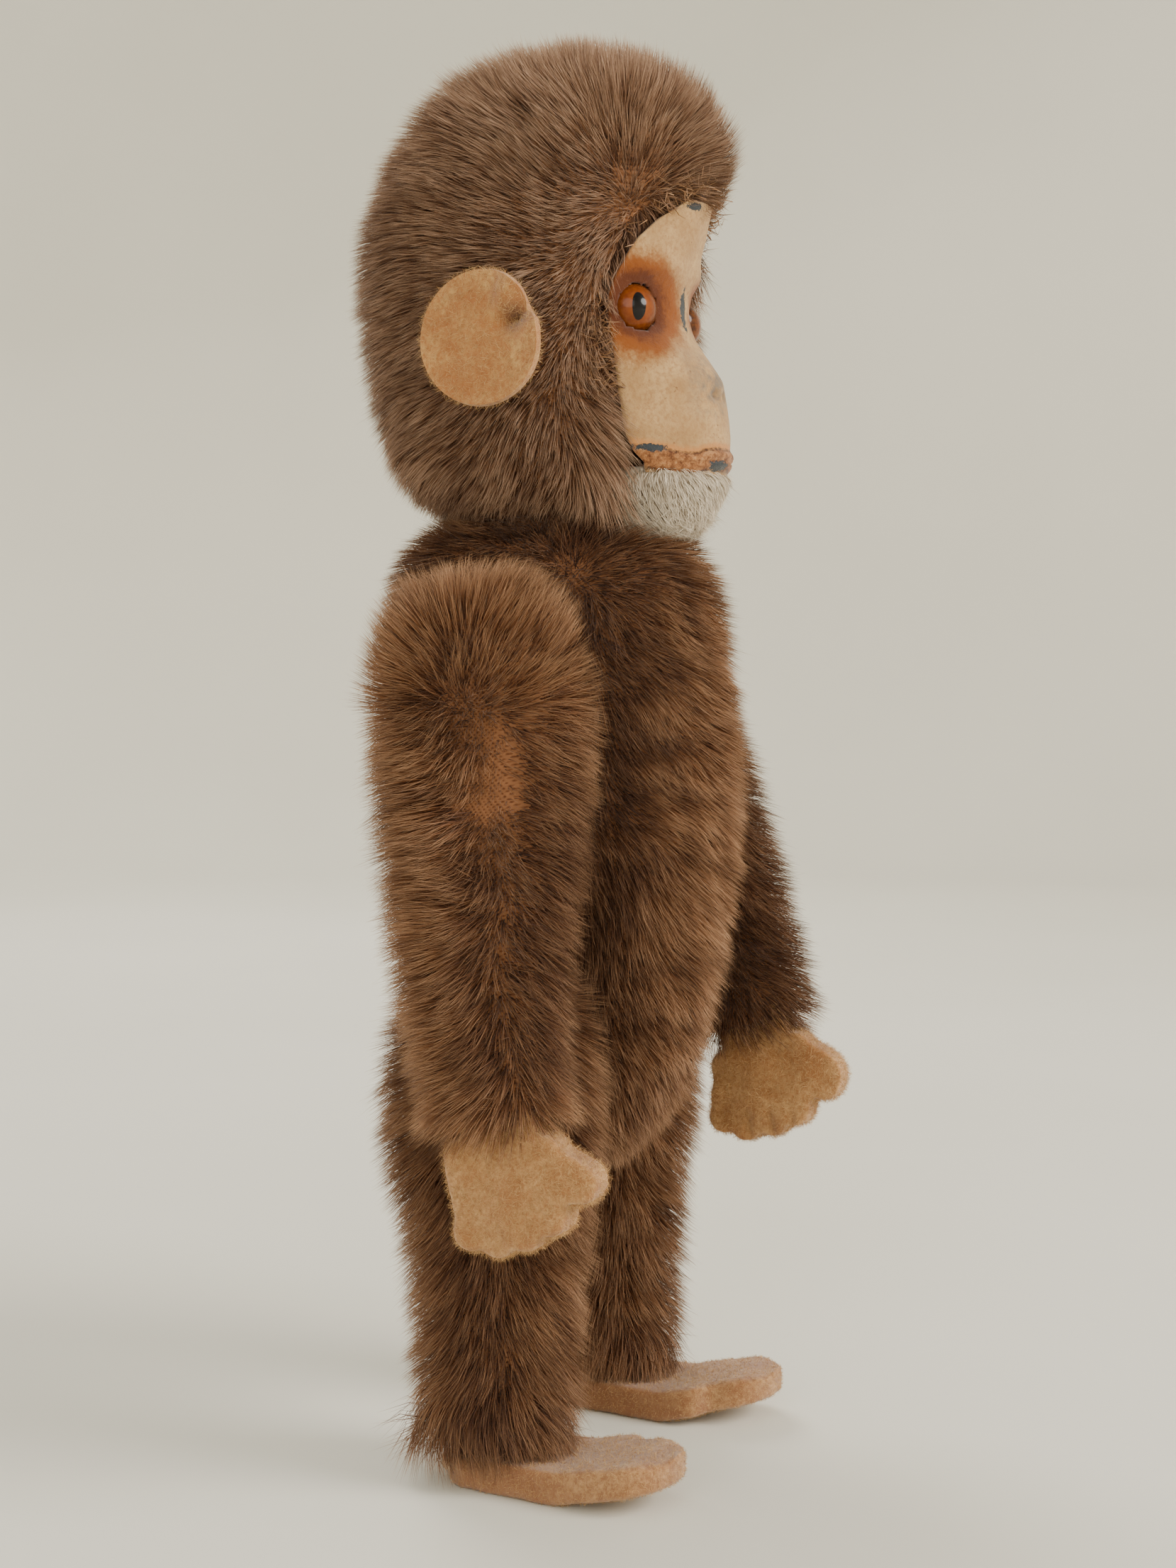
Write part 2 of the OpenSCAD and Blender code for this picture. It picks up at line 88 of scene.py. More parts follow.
def place_camera():
    back = Vector((math.sin(CAMERA_TURN), -math.cos(CAMERA_TURN), 0))
    aside = Vector((math.cos(CAMERA_TURN), math.sin(CAMERA_TURN), 0))
    middle = Vector((0, AXIS_Y, 0))
    data = bpy.data.cameras.new("camera")
    data.lens = LENS_MM
    data.sensor_width = 36
    data.clip_start = 0.01
    camera = in_scene("camera", data)
    camera.location = middle + back * CAMERA_AWAY + Vector((0, 0, CAMERA_HEIGHT))
    aim = middle + aside * AIM_ASIDE + Vector((0, 0, AIM_HEIGHT))
    look_at(camera, aim)
    bpy.context.scene.camera = camera


def area_light(name, place, aim, size, power, color):
    data = bpy.data.lights.new(name, "AREA")
    data.shape = "DISK"
    data.size = size
    data.energy = power
    data.color = color
    light = in_scene(name, data)
    light.location = place
    look_at(light, aim)


def light_scene():
    aim = Vector((0, 0, 0.12))
    area_light("key", (0.05, -1.05, 0.70), aim, 0.6, 16.0, (1, 0.96, 0.90))
    area_light("fill", (-1.0, -0.2, 0.55), aim, 0.9, 5.0, (0.97, 0.98, 1))
    area_light("rim", (0.55, 0.6, 0.8), aim, 0.6, 7.0, (1, 0.98, 0.95))
    world = bpy.data.worlds.new("studio")
    world.use_nodes = True
    background = world.node_tree.nodes["Background"]
    background.inputs["Color"].default_value = (0.80, 0.78, 0.71, 1)
    background.inputs["Strength"].default_value = 0.7
    bpy.context.scene.world = world


def build_stage():
    """A pale floor that curves up into a pale wall all round, so every view has one behind it."""
    bm = bmesh.new()
    radius, curve, wall = 1.2, 0.25, 1.6
    profile = [(0, 0), (radius - curve, 0)]
    for k in range(1, 9):
        a = math.pi / 2 * k / 8
        profile.append((radius - curve + curve * math.sin(a), curve - curve * math.cos(a)))
    profile.append((radius, wall))
    verts = [bm.verts.new((r, 0, z)) for r, z in profile]
    for a, b in zip(verts, verts[1:]):
        bm.edges.new((a, b))
    bmesh.ops.spin(bm, geom=bm.verts[:] + bm.edges[:], cent=(0, 0, 0), axis=(0, 0, 1),
                   angle=2 * math.pi, steps=64, use_merge=True)
    bmesh.ops.remove_doubles(bm, verts=bm.verts[:], dist=1e-5)
    bmesh.ops.recalc_face_normals(bm, faces=bm.faces[:])
    mesh = bpy.data.meshes.new("floor")
    bm.to_mesh(mesh)
    floor = in_scene("floor", mesh)
    for p in mesh.polygons:
        p.use_smooth = True
    mesh.materials.append(stage_material())


# ---------------------------------------------------------------- node graphs

class Graph:
    """A few shorthands for building one material's nodes."""

    def __init__(self, name, rough=0.8, **sockets):
        self.material = bpy.data.materials.new(name)
        self.material.use_nodes = True
        self.tree = self.material.node_tree
        self.shader = self.tree.nodes["Principled BSDF"]
        self.shader.inputs["Roughness"].default_value = rough
        for key, value in sockets.items():
            self.shader.inputs[key.replace("_", " ")].default_value = value

    def node(self, kind, **values):
        made = self.tree.nodes.new(kind)
        for key, value in values.items():
            setattr(made, key, value)
        return made

    def plug(self, source, target):
        if isinstance(source, bpy.types.NodeSocket):
            self.tree.links.new(source, target)
        else:
            target.default_value = source

    def math(self, operation, a, b=0.0):
        n = self.node("ShaderNodeMath", operation=operation)
        self.plug(a, n.inputs[0])
        self.plug(b, n.inputs[1])
        return n.outputs[0]

    def plus(self, a, b):
        return self.math("ADD", a, b)

    def minus(self, a, b):
        return self.math("SUBTRACT", a, b)

    def times(self, a, b):
        return self.math("MULTIPLY", a, b)

    def vector(self, operation, a, b=(0, 0, 0)):
        n = self.node("ShaderNodeVectorMath", operation=operation)
        self.plug(a, n.inputs[0])
        self.plug(b, n.inputs[1])
        return n.outputs["Value" if operation in ("LENGTH", "DISTANCE", "DOT_PRODUCT") else 0]

    def place(self):
        """The point's place on the toy at rest, in millimetres."""
        n = self.node("ShaderNodeTexCoord")
        return self.vector("MULTIPLY", n.outputs["Object"], (1 / MM, 1 / MM, 1 / MM))

    def apart(self, source):
        """The x, y and z of a vector."""
        n = self.node("ShaderNodeSeparateXYZ")
        self.plug(source, n.inputs[0])
        return n.outputs[0], n.outputs[1], n.outputs[2]

    def hypot(self, a, b):
        squares = self.plus(self.times(a, a), self.times(b, b))
        return self.math("SQRT", squares)

    def noise(self, place, per_mm, detail=3.0, rough=0.55):
        n = self.node("ShaderNodeTexNoise")
        self.plug(place, n.inputs["Vector"])
        n.inputs["Scale"].default_value = per_mm
        n.inputs["Detail"].default_value = detail
        n.inputs["Roughness"].default_value = rough
        return n.outputs["Fac"]

    def ramp(self, factor, *stops):
        """Stops are (position, colour or grey)."""
        n = self.node("ShaderNodeValToRGB")
        band = n.color_ramp
        while len(band.elements) < len(stops):
            band.elements.new(0.5)
        for element, (at, tone) in zip(band.elements, stops):
            element.position = at
            element.color = (tone, tone, tone, 1) if isinstance(tone, (int, float)) else (*tone, 1)
        self.plug(factor, n.inputs[0])
        return n.outputs[0]

    def step(self, value, low, high):
        """0 below low, 1 above high, smooth between; low may be more than high."""
        n = self.node("ShaderNodeMapRange", interpolation_type="SMOOTHSTEP", clamp=True)
        self.plug(value, n.inputs["Value"])
        if low < high:
            n.inputs["From Min"].default_value, n.inputs["From Max"].default_value = low, high
            return n.outputs["Result"]
        n.inputs["From Min"].default_value, n.inputs["From Max"].default_value = high, low
        return self.math("SUBTRACT", 1.0, n.outputs["Result"])

    def mix(self, factor, a, b):
        n = self.node("ShaderNodeMix", data_type="RGBA")
        self.plug(factor, n.inputs["Factor"])
        self.plug(a if not isinstance(a, tuple) else (*a, 1), n.inputs[6])
        self.plug(b if not isinstance(b, tuple) else (*b, 1), n.inputs[7])
        return n.outputs[2]

    def bump(self, height, strength, distance_mm):
        n = self.node("ShaderNodeBump")
        n.inputs["Strength"].default_value = strength
        n.inputs["Distance"].default_value = distance_mm * MM
        self.plug(height, n.inputs["Height"])
        self.tree.links.new(n.outputs[0], self.shader.inputs["Normal"])

    def paint(self, color, roughness=None):
        self.plug(color, self.shader.inputs["Base Color"])
        if roughness is not None:
            self.plug(roughness, self.shader.inputs["Roughness"])
        return self.material


def stage_material():
    g = Graph("pale_stage", rough=0.9)
    tint = g.ramp(g.noise(g.place(), 0.004), (0.3, (0.70, 0.675, 0.59)), (0.7, (0.74, 0.715, 0.63)))
    return g.paint(tint)


PILE_UV = "OFBake"


def pile_material(name, roots, middles, tips, rough=0.62):
    """Pile colour by a strand's own tone (u) and the way from root to tip (v).

    roots, middles and tips are each (dark colour, light colour) for the tones 0 and 1.
    """
    g = Graph(name, rough=rough, Sheen_Weight=0.08, Sheen_Roughness=0.5, Specular_IOR_Level=0.3)
    uv = g.node("ShaderNodeUVMap", uv_map=PILE_UV)
    tone, along, _ = g.apart(uv.outputs[0])
    root = g.ramp(tone, (0.0, roots[0]), (1.0, roots[1]))
    middle = g.ramp(tone, (0.0, middles[0]), (1.0, middles[1]))
    tip = g.ramp(tone, (0.0, tips[0]), (1.0, tips[1]))
    # Darkest at the root, palest at the tip: painted shade deep in the pile and painted light scattered
    # through the tips, over each strand's own tone.
    lower = g.mix(g.step(along, 0.0, 0.5), root, middle)
    return g.paint(g.mix(g.step(along, 0.45, 1.0), lower, tip))


THREAD_MM = 0.75         # from one thread of the cloth to the next


def backing_material():
    """Woven ground of the mohair cloth: two crossing sets of threads, dark in the gaps."""
    g = Graph("mohair_ground", rough=0.95, Specular_IOR_Level=0.15)
    place = g.place()
    x, y, z = g.apart(place)
    pitch = 2 * math.pi / THREAD_MM
    level = g.math("SINE", g.times(z, pitch))
    around = g.plus(x, y)
    weft = g.math("SINE", g.times(around, pitch))
    weave = g.math("MULTIPLY_ADD", g.times(level, weft), 0.5)
    ragged = g.plus(weave, g.noise(place, 1.4))
    tint = g.ramp(ragged, (0.25, (0.055, 0.022, 0.012)), (0.6, (0.16, 0.060, 0.026)),
                  (0.95, (0.26, 0.115, 0.052)))
    g.bump(ragged, 0.5, 0.3)
    return g.paint(tint)


def felt_material(name, light, dark, stain, near_pile=None, dart=None):
    """Matt wool felt: crossing short fibres, cloudy tone, blotches of stain, and a darker part
    where the pile meets it: near_pile is (least y, most y) in millimetres, both to full stain.
    dart is the (y, z) of a crease, round which the felt is painted darker as shade."""
    g = Graph(name, rough=0.95, Sheen_Weight=0.35, Sheen_Roughness=0.6, Specular_IOR_Level=0.15)
    place = g.place()
    fibre = g.noise(place, 1.3, 6, 0.75)
    tint = g.ramp(g.noise(place, 0.16, 4, 0.6), (0.32, dark), (0.68, light))
    tint = g.mix(g.ramp(fibre, (0.40, 0.8), (0.60, 0.0)), tint, stain)
    tint = g.mix(g.ramp(g.noise(place, 0.20, 5, 0.65), (0.46, 0.0), (0.62, 0.8)), tint, stain)
    if near_pile:
        ragged = g.plus(g.apart(place)[1], g.times(fibre, 3.0))
        tint = g.mix(g.times(g.step(ragged, *near_pile), 0.7), tint, stain)
    # Painted shade: darker felt round the dart, as in the shadow of its crease.
    if dart:
        _, y, z = g.apart(place)
        far = g.hypot(g.minus(y, dart[0]), g.minus(z, dart[1]))
        tint = g.mix(g.times(g.step(far, 3.2, 0.4), 0.75), tint, (0.17, 0.065, 0.018))
    g.bump(fibre, 0.8, 0.3)
    return g.paint(tint)


def eye_distance(g, across, y, z):
    """How far a point is from the nearer eye's middle; across is its x without the sign."""
    folded = g.node("ShaderNodeCombineXYZ")
    for source, target in zip((across, y, z), folded.inputs):
        g.plug(source, target)
    return g.vector("DISTANCE", folded.outputs[0], tuple(EYE["left"] / MM))


CHIPS = [  # places where the flock is gone down to grey metal: (x, z, half-width, half-height)
    (-0.8, 176.6, 0.8, 3.0), (-3.0, 191.6, 1.5, 0.6),
    (-11.6, 155.2, 1.5, 0.6), (-2.4, 152.9, 2.0, 0.8), (9.6, 166, 0.5, 0.8),
]
MOUTH_Z = 153.9
MOUTH_HALF = 1.55        # half the height of the painted lips
MOUTH_SAG = 0.95         # how far the lips dip on each side, MOUTH_DIP from the middle
MOUTH_DIP = 7.5


def between(g, value, low, high, soft):
    """1 from low to high, 0 outside, with soft edges."""
    return g.times(g.step(value, low - soft, low + soft), g.step(value, high + soft, high - soft))


def face_material():
    """Cream flock over pressed tin, airbrushed round the eyes, with a brown mouth and chips."""
    g = Graph("flocked_face", rough=0.92, Sheen_Weight=0.2, Specular_IOR_Level=0.2)
    place = g.place()
    x, y, z = g.apart(place)
    across = g.math("ABSOLUTE", x)
    grain = g.noise(place, 1.5, 6, 0.7)
    cloud = g.noise(place, 0.22, 4, 0.6)
    tint = g.ramp(cloud, (0.3, (0.33, 0.19, 0.076)), (0.7, (0.49, 0.315, 0.142)))
    tint = g.mix(g.ramp(grain, (0.36, 0.75), (0.56, 0.0)), tint, (0.30, 0.155, 0.062))

    uneven = g.plus(g.times(cloud, 4.0), g.times(grain, 2.6))
    sprayed = g.minus(g.plus(eye_distance(g, across, y, z), uneven), 3.3)
    tint = g.mix(g.step(sprayed, 10.8, 7.0), tint, (0.20, 0.055, 0.006))
    tint = g.mix(g.step(sprayed, 7.0, 4.8), tint, (0.085, 0.020, 0.004))

    smudge = g.ramp(g.noise(place, 0.35, 5, 0.7), (0.40, 0.0), (0.60, 0.8))
    smudge = g.times(smudge, between(g, z, 160.5, 169.0, 2.0))
    smudge = g.times(smudge, g.step(across, 9.0, 3.0))
    tint = g.mix(smudge, tint, (0.13, 0.11, 0.09))
    freckle = g.ramp(g.noise(place, 1.1, 2, 0.5), (0.70, 0.0), (0.75, 0.8))
    tint = g.mix(freckle, tint, (0.17, 0.07, 0.03))

    waver = g.times(g.minus(g.noise(place, 0.7, 4, 0.7), 0.5), 1.1)
    dip = between(g, across, MOUTH_DIP - 2.2, MOUTH_DIP + 2.6, 2.4)
    height = g.plus(g.plus(z, waver), g.times(dip, MOUTH_SAG))
    height = g.minus(height, MOUTH_Z)
    lip_tone = g.ramp(g.noise(place, 0.9, 5, 0.75), (0.38, (0.10, 0.032, 0.010)),
                      (0.52, (0.28, 0.115, 0.040)), (0.68, (0.44, 0.235, 0.10)))
    blush = between(g, height, MOUTH_HALF - 0.2, MOUTH_HALF + 0.9, 0.5)
    tint = g.mix(g.times(blush, 0.8), tint, (0.44, 0.18, 0.05))
    tint = g.mix(between(g, height, -MOUTH_HALF, MOUTH_HALF, 0.12), tint, lip_tone)
    rim = g.math("ABSOLUTE", g.minus(g.math("ABSOLUTE", height), MOUTH_HALF))
    rim = g.times(g.step(rim, 0.38, 0.10), g.ramp(grain, (0.40, 0.95), (0.62, 0.2)))
    tint = g.mix(rim, tint, (0.035, 0.011, 0.005))

    bare = None
    for cx, cz, rx, rz in CHIPS:
        dx = g.math("DIVIDE", g.minus(x, cx), rx)
        dz = g.math("DIVIDE", g.minus(z, cz), rz)
        far = g.plus(g.hypot(dx, dz), g.times(g.minus(grain, 0.5), 2.6))
        spot = g.step(far, 1.05, 0.9)
        bare = spot if bare is None else g.math("MAXIMUM", bare, spot)
    tint = g.mix(bare, tint, (0.018, 0.023, 0.027))
    rough = g.minus(0.92, g.times(bare, 0.45))
    g.bump(g.minus(grain, g.times(bare, 0.8)), 0.6, 0.25)
    return g.paint(tint, rough)


PUPIL_NARROW = 1.9       # how many times higher than wide the pupil is
ROUNDER = math.sqrt(0.28)   # turns the pupil's stretched width back into the iris's


def eye_material(side):
    """Amber glass round an upright oval pupil; the dark rim is the painted back of the glass."""
    g = Graph(side + "_amber_glass", rough=0.25, Coat_Weight=0.3, Coat_Roughness=0.03,
              Specular_IOR_Level=0.1)
    centre, gaze = EYE[side], GAZE[side]
    across = np.cross(gaze, (0, 0, 1))
    offset = g.vector("SUBTRACT", g.place(), tuple(centre / MM))
    sideways = g.times(g.vector("DOT_PRODUCT", offset, tuple(across)), PUPIL_NARROW)
    upward = g.vector("DOT_PRODUCT", offset, (0, 0, 1))
    oval = g.hypot(sideways, upward)
    ring = g.hypot(g.times(sideways, ROUNDER), upward)
    streak = g.noise(g.place(), 1.6, 3, 0.6)
    iris = g.ramp(g.math("DIVIDE", ring, 4.0), (0.2, (0.22, 0.048, 0.004)), (0.6, (0.14, 0.027, 0.003)),
                  (0.95, (0.03, 0.008, 0.002)))
    iris = g.mix(g.ramp(streak, (0.35, 0.3), (0.65, 0.0)), iris, (0.30, 0.085, 0.008))
    return g.paint(g.mix(g.step(oval, 2.2, 1.95), iris, (0.004, 0.003, 0.003)))


def plain_grain_material(name, light, dark, per_mm, rough, metallic=0.0):
    g = Graph(name, rough=rough, Metallic=metallic)
    grain = g.noise(g.place(), per_mm, 5, 0.7)
    g.bump(grain, 0.3, 0.15)
    worn = g.ramp(grain, (0.3, rough - 0.12), (0.7, min(rough + 0.15, 1)))
    return g.paint(g.ramp(grain, (0.3, dark), (0.7, light)), worn)


# ---------------------------------------------------------------- mesh helpers

def dress(piece, body, material):
    """Gives a piece one material, and says what it rides on."""
    piece.data.materials.clear()
    piece.data.materials.append(material)
    piece.data.polygons.foreach_set("use_smooth", np.ones(len(piece.data.polygons), bool))
    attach(piece, body)
    return piece


def settle(piece):
    """Turns a piece's modifiers into its mesh."""
    graph = bpy.context.evaluated_depsgraph_get()
    mesh = bpy.data.meshes.new_from_object(piece.evaluated_get(graph))
    piece.modifiers.clear()
    old = piece.data
    piece.data = mesh
    bpy.data.meshes.remove(old)
    mesh.name = piece.name
    return piece


def with_modifier(piece, kind, **values):
    modifier = piece.modifiers.new(kind.lower(), kind)
    for key, value in values.items():
        setattr(modifier, key, value)
    return settle(piece)


def points_of(mesh):
    co = np.zeros(len(mesh.vertices) * 3, np.float32)
    mesh.vertices.foreach_get("co", co)
    return co.reshape(-1, 3).astype(float)


def normals_of(mesh):
    no = np.zeros(len(mesh.vertices) * 3, np.float32)
    mesh.vertices.foreach_get("normal", no)
    return no.reshape(-1, 3).astype(float)


def move_points(mesh, points):
    mesh.vertices.foreach_set("co", points.astype(np.float32).ravel())
    mesh.update()


def unit(v):
    return v / np.maximum(np.linalg.norm(v, axis=-1, keepdims=True), 1e-12)


def smoothstep(v, low, high):
    """0 up to low, 1 from high on, smooth between; fade is the other way round."""
    t = np.clip((v - low) / (high - low), 0, 1)
    return t * t * (3 - 2 * t)


def fade(v, low, high):
    return 1 - smoothstep(v, low, high)


def bell(v, width):
    """1 where v is 0, falling to nothing some two widths away."""
    return np.exp(-(v / width) ** 2)


def lengths(v):
    return np.linalg.norm(v, axis=1)


class Field:
    """A smooth, repeatable noise from -1 to 1 over space, as a sum of waves of about one size."""

    def __init__(self, seed, size_mm, waves=10):
        draw = np.random.default_rng(seed)
        self.k = unit(draw.normal(size=(waves, 3))) * (2 * np.pi / (size_mm * MM))
        self.k *= draw.uniform(0.6, 1.5, (waves, 1))
        self.phase = draw.uniform(0, 2 * np.pi, waves)
        self.gain = 1.6 / math.sqrt(waves)

    def __call__(self, points):
        return np.clip(np.sin(points @ self.k.T + self.phase).sum(axis=1) * self.gain / 2, -1, 1)


def outer_skin(node, voxel_mm):
    """The outside of a CAD cover as one closed, even mesh: no cavity, no bores."""
    bm = bmesh.new()
    bm.from_mesh(NODES[node].data)
    bmesh.ops.remove_doubles(bm, verts=bm.verts[:], dist=1e-6)
    tree = BVHTree.FromBMesh(bm)
    inner = [f for f in bm.faces
             if tree.ray_cast(f.calc_center_median() + f.normal * 2e-5, f.normal)[0] is not None]
    bmesh.ops.delete(bm, geom=inner, context="FACES")
    bmesh.ops.holes_fill(bm, edges=bm.edges[:], sides=0)
    bmesh.ops.triangulate(bm, faces=bm.faces[:])
    mesh = bpy.data.meshes.new(node + "_skin")
    bm.to_mesh(mesh)
    piece = in_scene(node + "_skin", mesh)
    with_modifier(piece, "REMESH", mode="VOXEL", voxel_size=voxel_mm * MM)
    return with_modifier(piece, "SMOOTH", factor=0.5, iterations=6)


CLOTH_SCALE = 10.0      # the cloth solver is happier with a toy ten times as big


def puff(piece, most_mm, pressure=3.0):
    """Swells a closed cover by cloth simulation, as packed wood wool swells it."""
    start = points_of(piece.data)
    move_points(piece.data, start * CLOTH_SCALE)
    cloth = piece.modifiers.new("cloth", "CLOTH")
    s = cloth.settings
    s.quality = 5
    s.mass = 0.3
    s.tension_stiffness = 25
    s.compression_stiffness = 25
    s.shear_stiffness = 10
    s.bending_stiffness = 1.5
    s.use_pressure = True
    s.uniform_pressure_force = pressure
    s.effector_weights.gravity = 0
    cloth.collision_settings.use_collision = False
    cloth.point_cache.frame_start = 1
    cloth.point_cache.frame_end = 14
    for k in range(1, 15):
        bpy.context.scene.frame_set(k)
    settle(piece)
    bpy.context.scene.frame_set(1)
    ended = points_of(piece.data) / CLOTH_SCALE
    moved = ended - start
    far = np.linalg.norm(moved, axis=1, keepdims=True)
    move_points(piece.data, start + moved * np.minimum(1, most_mm * MM / np.maximum(far, 1e-9)))


# ---------------------------------------------------------------- pile

def triangles_of(mesh):
    mesh.calc_loop_triangles()
    tri = np.zeros(len(mesh.loop_triangles) * 3, np.int32)
    mesh.loop_triangles.foreach_get("vertices", tri)
    return tri.reshape(-1, 3)


def scatter(piece, per_mm2, draw, keep):
    """Roots spread evenly over a mesh: (places, normals). keep(places, normals) is 0 to 1."""
    co, no, tri = points_of(piece.data), normals_of(piece.data), triangles_of(piece.data)
    a, b, c = (co[tri[:, k]] for k in range(3))
    area = lengths(np.cross(b - a, c - a)) / 2
    count = int(area.sum() / MM ** 2 * per_mm2)
    pick = np.searchsorted(np.cumsum(area) / area.sum(), np.sort(draw.random(count)))
    pick = np.minimum(pick, len(tri) - 1)
    u, v = draw.random(count), draw.random(count)
    over = u + v > 1
    u[over], v[over] = 1 - u[over], 1 - v[over]
    w = np.stack([1 - u - v, u, v], axis=1)[..., None]
    place = (co[tri[pick]] * w).sum(axis=1)
    normal = unit((no[tri[pick]] * w).sum(axis=1))
    stay = draw.random(count) < keep(place, normal)
    return place[stay], normal[stay]


WAY = np.array([0.0, 0.5, 1.0])       # where along a strand its points lie


def strand_paths(place, normal, comb, length, lean, draw, wild=0.25):
    """The points of each strand: it leaves the cloth steeply and bends over along comb."""
    comb = comb - (comb * normal).sum(1, keepdims=True) * normal
    comb = unit(comb + wild * draw.normal(size=comb.shape))
    comb = unit(comb - (comb * normal).sum(1, keepdims=True) * normal)
    paths = [place]
    for k in range(1, len(WAY)):
        middle = (WAY[k] + WAY[k - 1]) / 2
        angle = lean * (0.55 + 0.75 * middle)
        heading = normal * np.cos(angle)[:, None] + comb * np.sin(angle)[:, None]
        paths.append(paths[-1] + heading * (length * (WAY[k] - WAY[k - 1]))[:, None])
    return np.stack(paths, axis=1)


def clump(paths, every, strength, draw):
    """Draws neighbouring strands together towards their tips, into locks."""
    guides = draw.choice(len(paths), max(1, len(paths) // every), replace=False)
    tree = KDTree(len(guides))
    for k, g in enumerate(guides):
        tree.insert(paths[g, 0], k)
    tree.balance()
    find = tree.find
    nearest = np.fromiter((find(p)[1] for p in paths[:, 0].tolist()), int, len(paths))
    leader = paths[guides[nearest]]
    pull = strength * draw.uniform(0.25, 1.0, len(paths))
    return paths + (leader - paths) * (pull[:, None] * WAY[None] ** 1.3)[..., None], nearest


def ribbons(name, paths, width, tone, draw, roll=1.2):
    """Strands as one mesh of tapering ribbons, with their tone and length in the UV layer."""
    n = len(paths)
    along = unit(paths[:, 1:] - paths[:, :-1])
    flat = unit(np.cross(along[:, 0], along[:, 1]) + 1e-4 * draw.normal(size=(n, 3)))
    turn = draw.uniform(-roll, roll, n)[:, None, None]
    side = flat[:, None] * np.cos(turn) + np.cross(along, flat[:, None]) * np.sin(turn)
    taper = np.array([1.0, 0.8])
    half = side * (width[:, None] * taper[None])[..., None] / 2
    left, right = paths[:, :2] - half, paths[:, :2] + half
    verts = np.concatenate([np.stack([left, right], axis=2).reshape(n, 4, 3), paths[:, 2:]], axis=1)
    corners = np.array([0, 1, 3, 2, 2, 3, 4])
    loops = (np.arange(n)[:, None] * 5 + corners).ravel()
    starts = (np.arange(n)[:, None] * 7 + np.array([0, 4])).ravel()
    mesh = bpy.data.meshes.new(name)
    mesh.vertices.add(n * 5)
    mesh.loops.add(n * 7)
    mesh.polygons.add(n * 2)
    mesh.vertices.foreach_set("co", verts.astype(np.float32).ravel())
    mesh.loops.foreach_set("vertex_index", loops.astype(np.int32))
    mesh.polygons.foreach_set("loop_start", starts.astype(np.int32))
    mesh.update(calc_edges=True)
    edge = np.array([-1, 1, -1, 1, 0]) * 0.006
    u = np.clip(tone, 0.02, 0.98)[:, None] + edge[None]
    v = np.broadcast_to(0.02 + 0.96 * WAY[[0, 0, 1, 1, 2]][None], (n, 5))
    uv = np.stack([u, v], axis=2).reshape(-1, 2)[loops]
    layer = mesh.uv_layers.new(name=PILE_UV)
    layer.data.foreach_set("uv", uv.astype(np.float32).ravel())
    return mesh


MOST_STRANDS = 60000     # in one piece


def grow(name, body, material, parts, draw):
    """parts are (paths, width, tone); cut by height into pieces of at most MOST_STRANDS."""
    paths = np.concatenate([p[0] for p in parts])
    width = np.concatenate([p[1] for p in parts])
    tone = np.concatenate([p[2] for p in parts])
    order = np.argsort(paths[:, 0, 2], kind="stable")
    pieces = max(1, math.ceil(len(order) / MOST_STRANDS))
    for k, chosen in enumerate(np.array_split(order, pieces)):
        label = f"{name}_{k + 1}" if pieces > 1 else name
        mesh = ribbons(label, paths[chosen], width[chosen], tone[chosen], draw)
        dress(in_scene(label, mesh), body, material)


# ---------------------------------------------------------------- places read from the frame

def box_mm(node):
    """The least and the most corner of a node's box, in millimetres."""
    return (np.array(corner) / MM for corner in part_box(node))


def box_middle(node):
    low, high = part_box(node)
    return (np.array(low) + np.array(high)) / 2


EYE = {side: box_middle(side + "_eye") for side in SIDES}
EAR_Y, EAR_Z = (box_middle("left_ear") / MM)[1:] - np.array([AXIS_Y / MM, 0])
EYE_R = (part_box("left_eye")[1][0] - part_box("left_eye")[0][0]) / 2
EYE_OUT = math.radians(47)      # how far each eye looks out to its side
HOLE_OUT = math.radians(28)     # and how far the face's eye hole does


def outward(angle):
    return {side: np.array([sign * math.sin(angle), -math.cos(angle), 0.0])
            for side, sign in SIDES.items()}


GAZE = outward(EYE_OUT)
HOLE = outward(HOLE_OUT)
DENSITY = 9.0            # strands on a square millimetre of cloth
JOINT_FLATS = {          # where covers turn against each other: (joint, radius of its flat in mm)
    "trunk": [("neck_turn", 10), ("right_shoulder", 9), ("left_shoulder", 9),
              ("right_hip", 9), ("left_hip", 9)],
    "head": [("neck_turn", 11)],
    "right_arm": [("right_shoulder", 8)], "left_arm": [("left_shoulder", 8)],
    "right_leg": [("right_hip", 9)], "left_leg": [("left_hip", 9)],
}


def flat_share(body, points):
    """1 where the cloth lies in a disc joint, 0 away from it."""
    share = np.zeros(len(points))
    for name, radius in JOINT_FLATS[body]:
        centre, axis = joint_place(name), unit(np.array(JOINTS[name]["axis"], float))
        rel = points - centre
        height = np.abs(rel @ axis) / MM
        out = lengths(rel - (rel @ axis)[:, None] * axis) / MM
        near = fade(height, 0.8, 2.6) * fade(out, radius, radius + 3)
        share = np.maximum(share, near)
    return share


def make_backing(body, node, sink_mm, voxel_mm, swell_mm):
    """The stuffed cloth under the pile: the cover's outside, drawn in by the pile's height."""
    piece = outer_skin(node, voxel_mm)
    points, normals = points_of(piece.data), normals_of(piece.data)
    sink = sink_mm * MM * (1 - flat_share(body, points) * 0.9)
    move_points(piece.data, points - normals * sink[:, None])
    puff(piece, swell_mm)
    with_modifier(piece, "SMOOTH", factor=0.4, iterations=2)
    piece.name = piece.data.name = body + "_cloth"
    dress(piece, body, GROUND)
    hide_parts(node, node.replace("_cover", "_stuffing"))
    return piece


# ---------------------------------------------------------------- the furred parts

SWIRL = Field(3, 14)
PATCHY = Field(4, 9)
FINE = Field(5, 3.2)


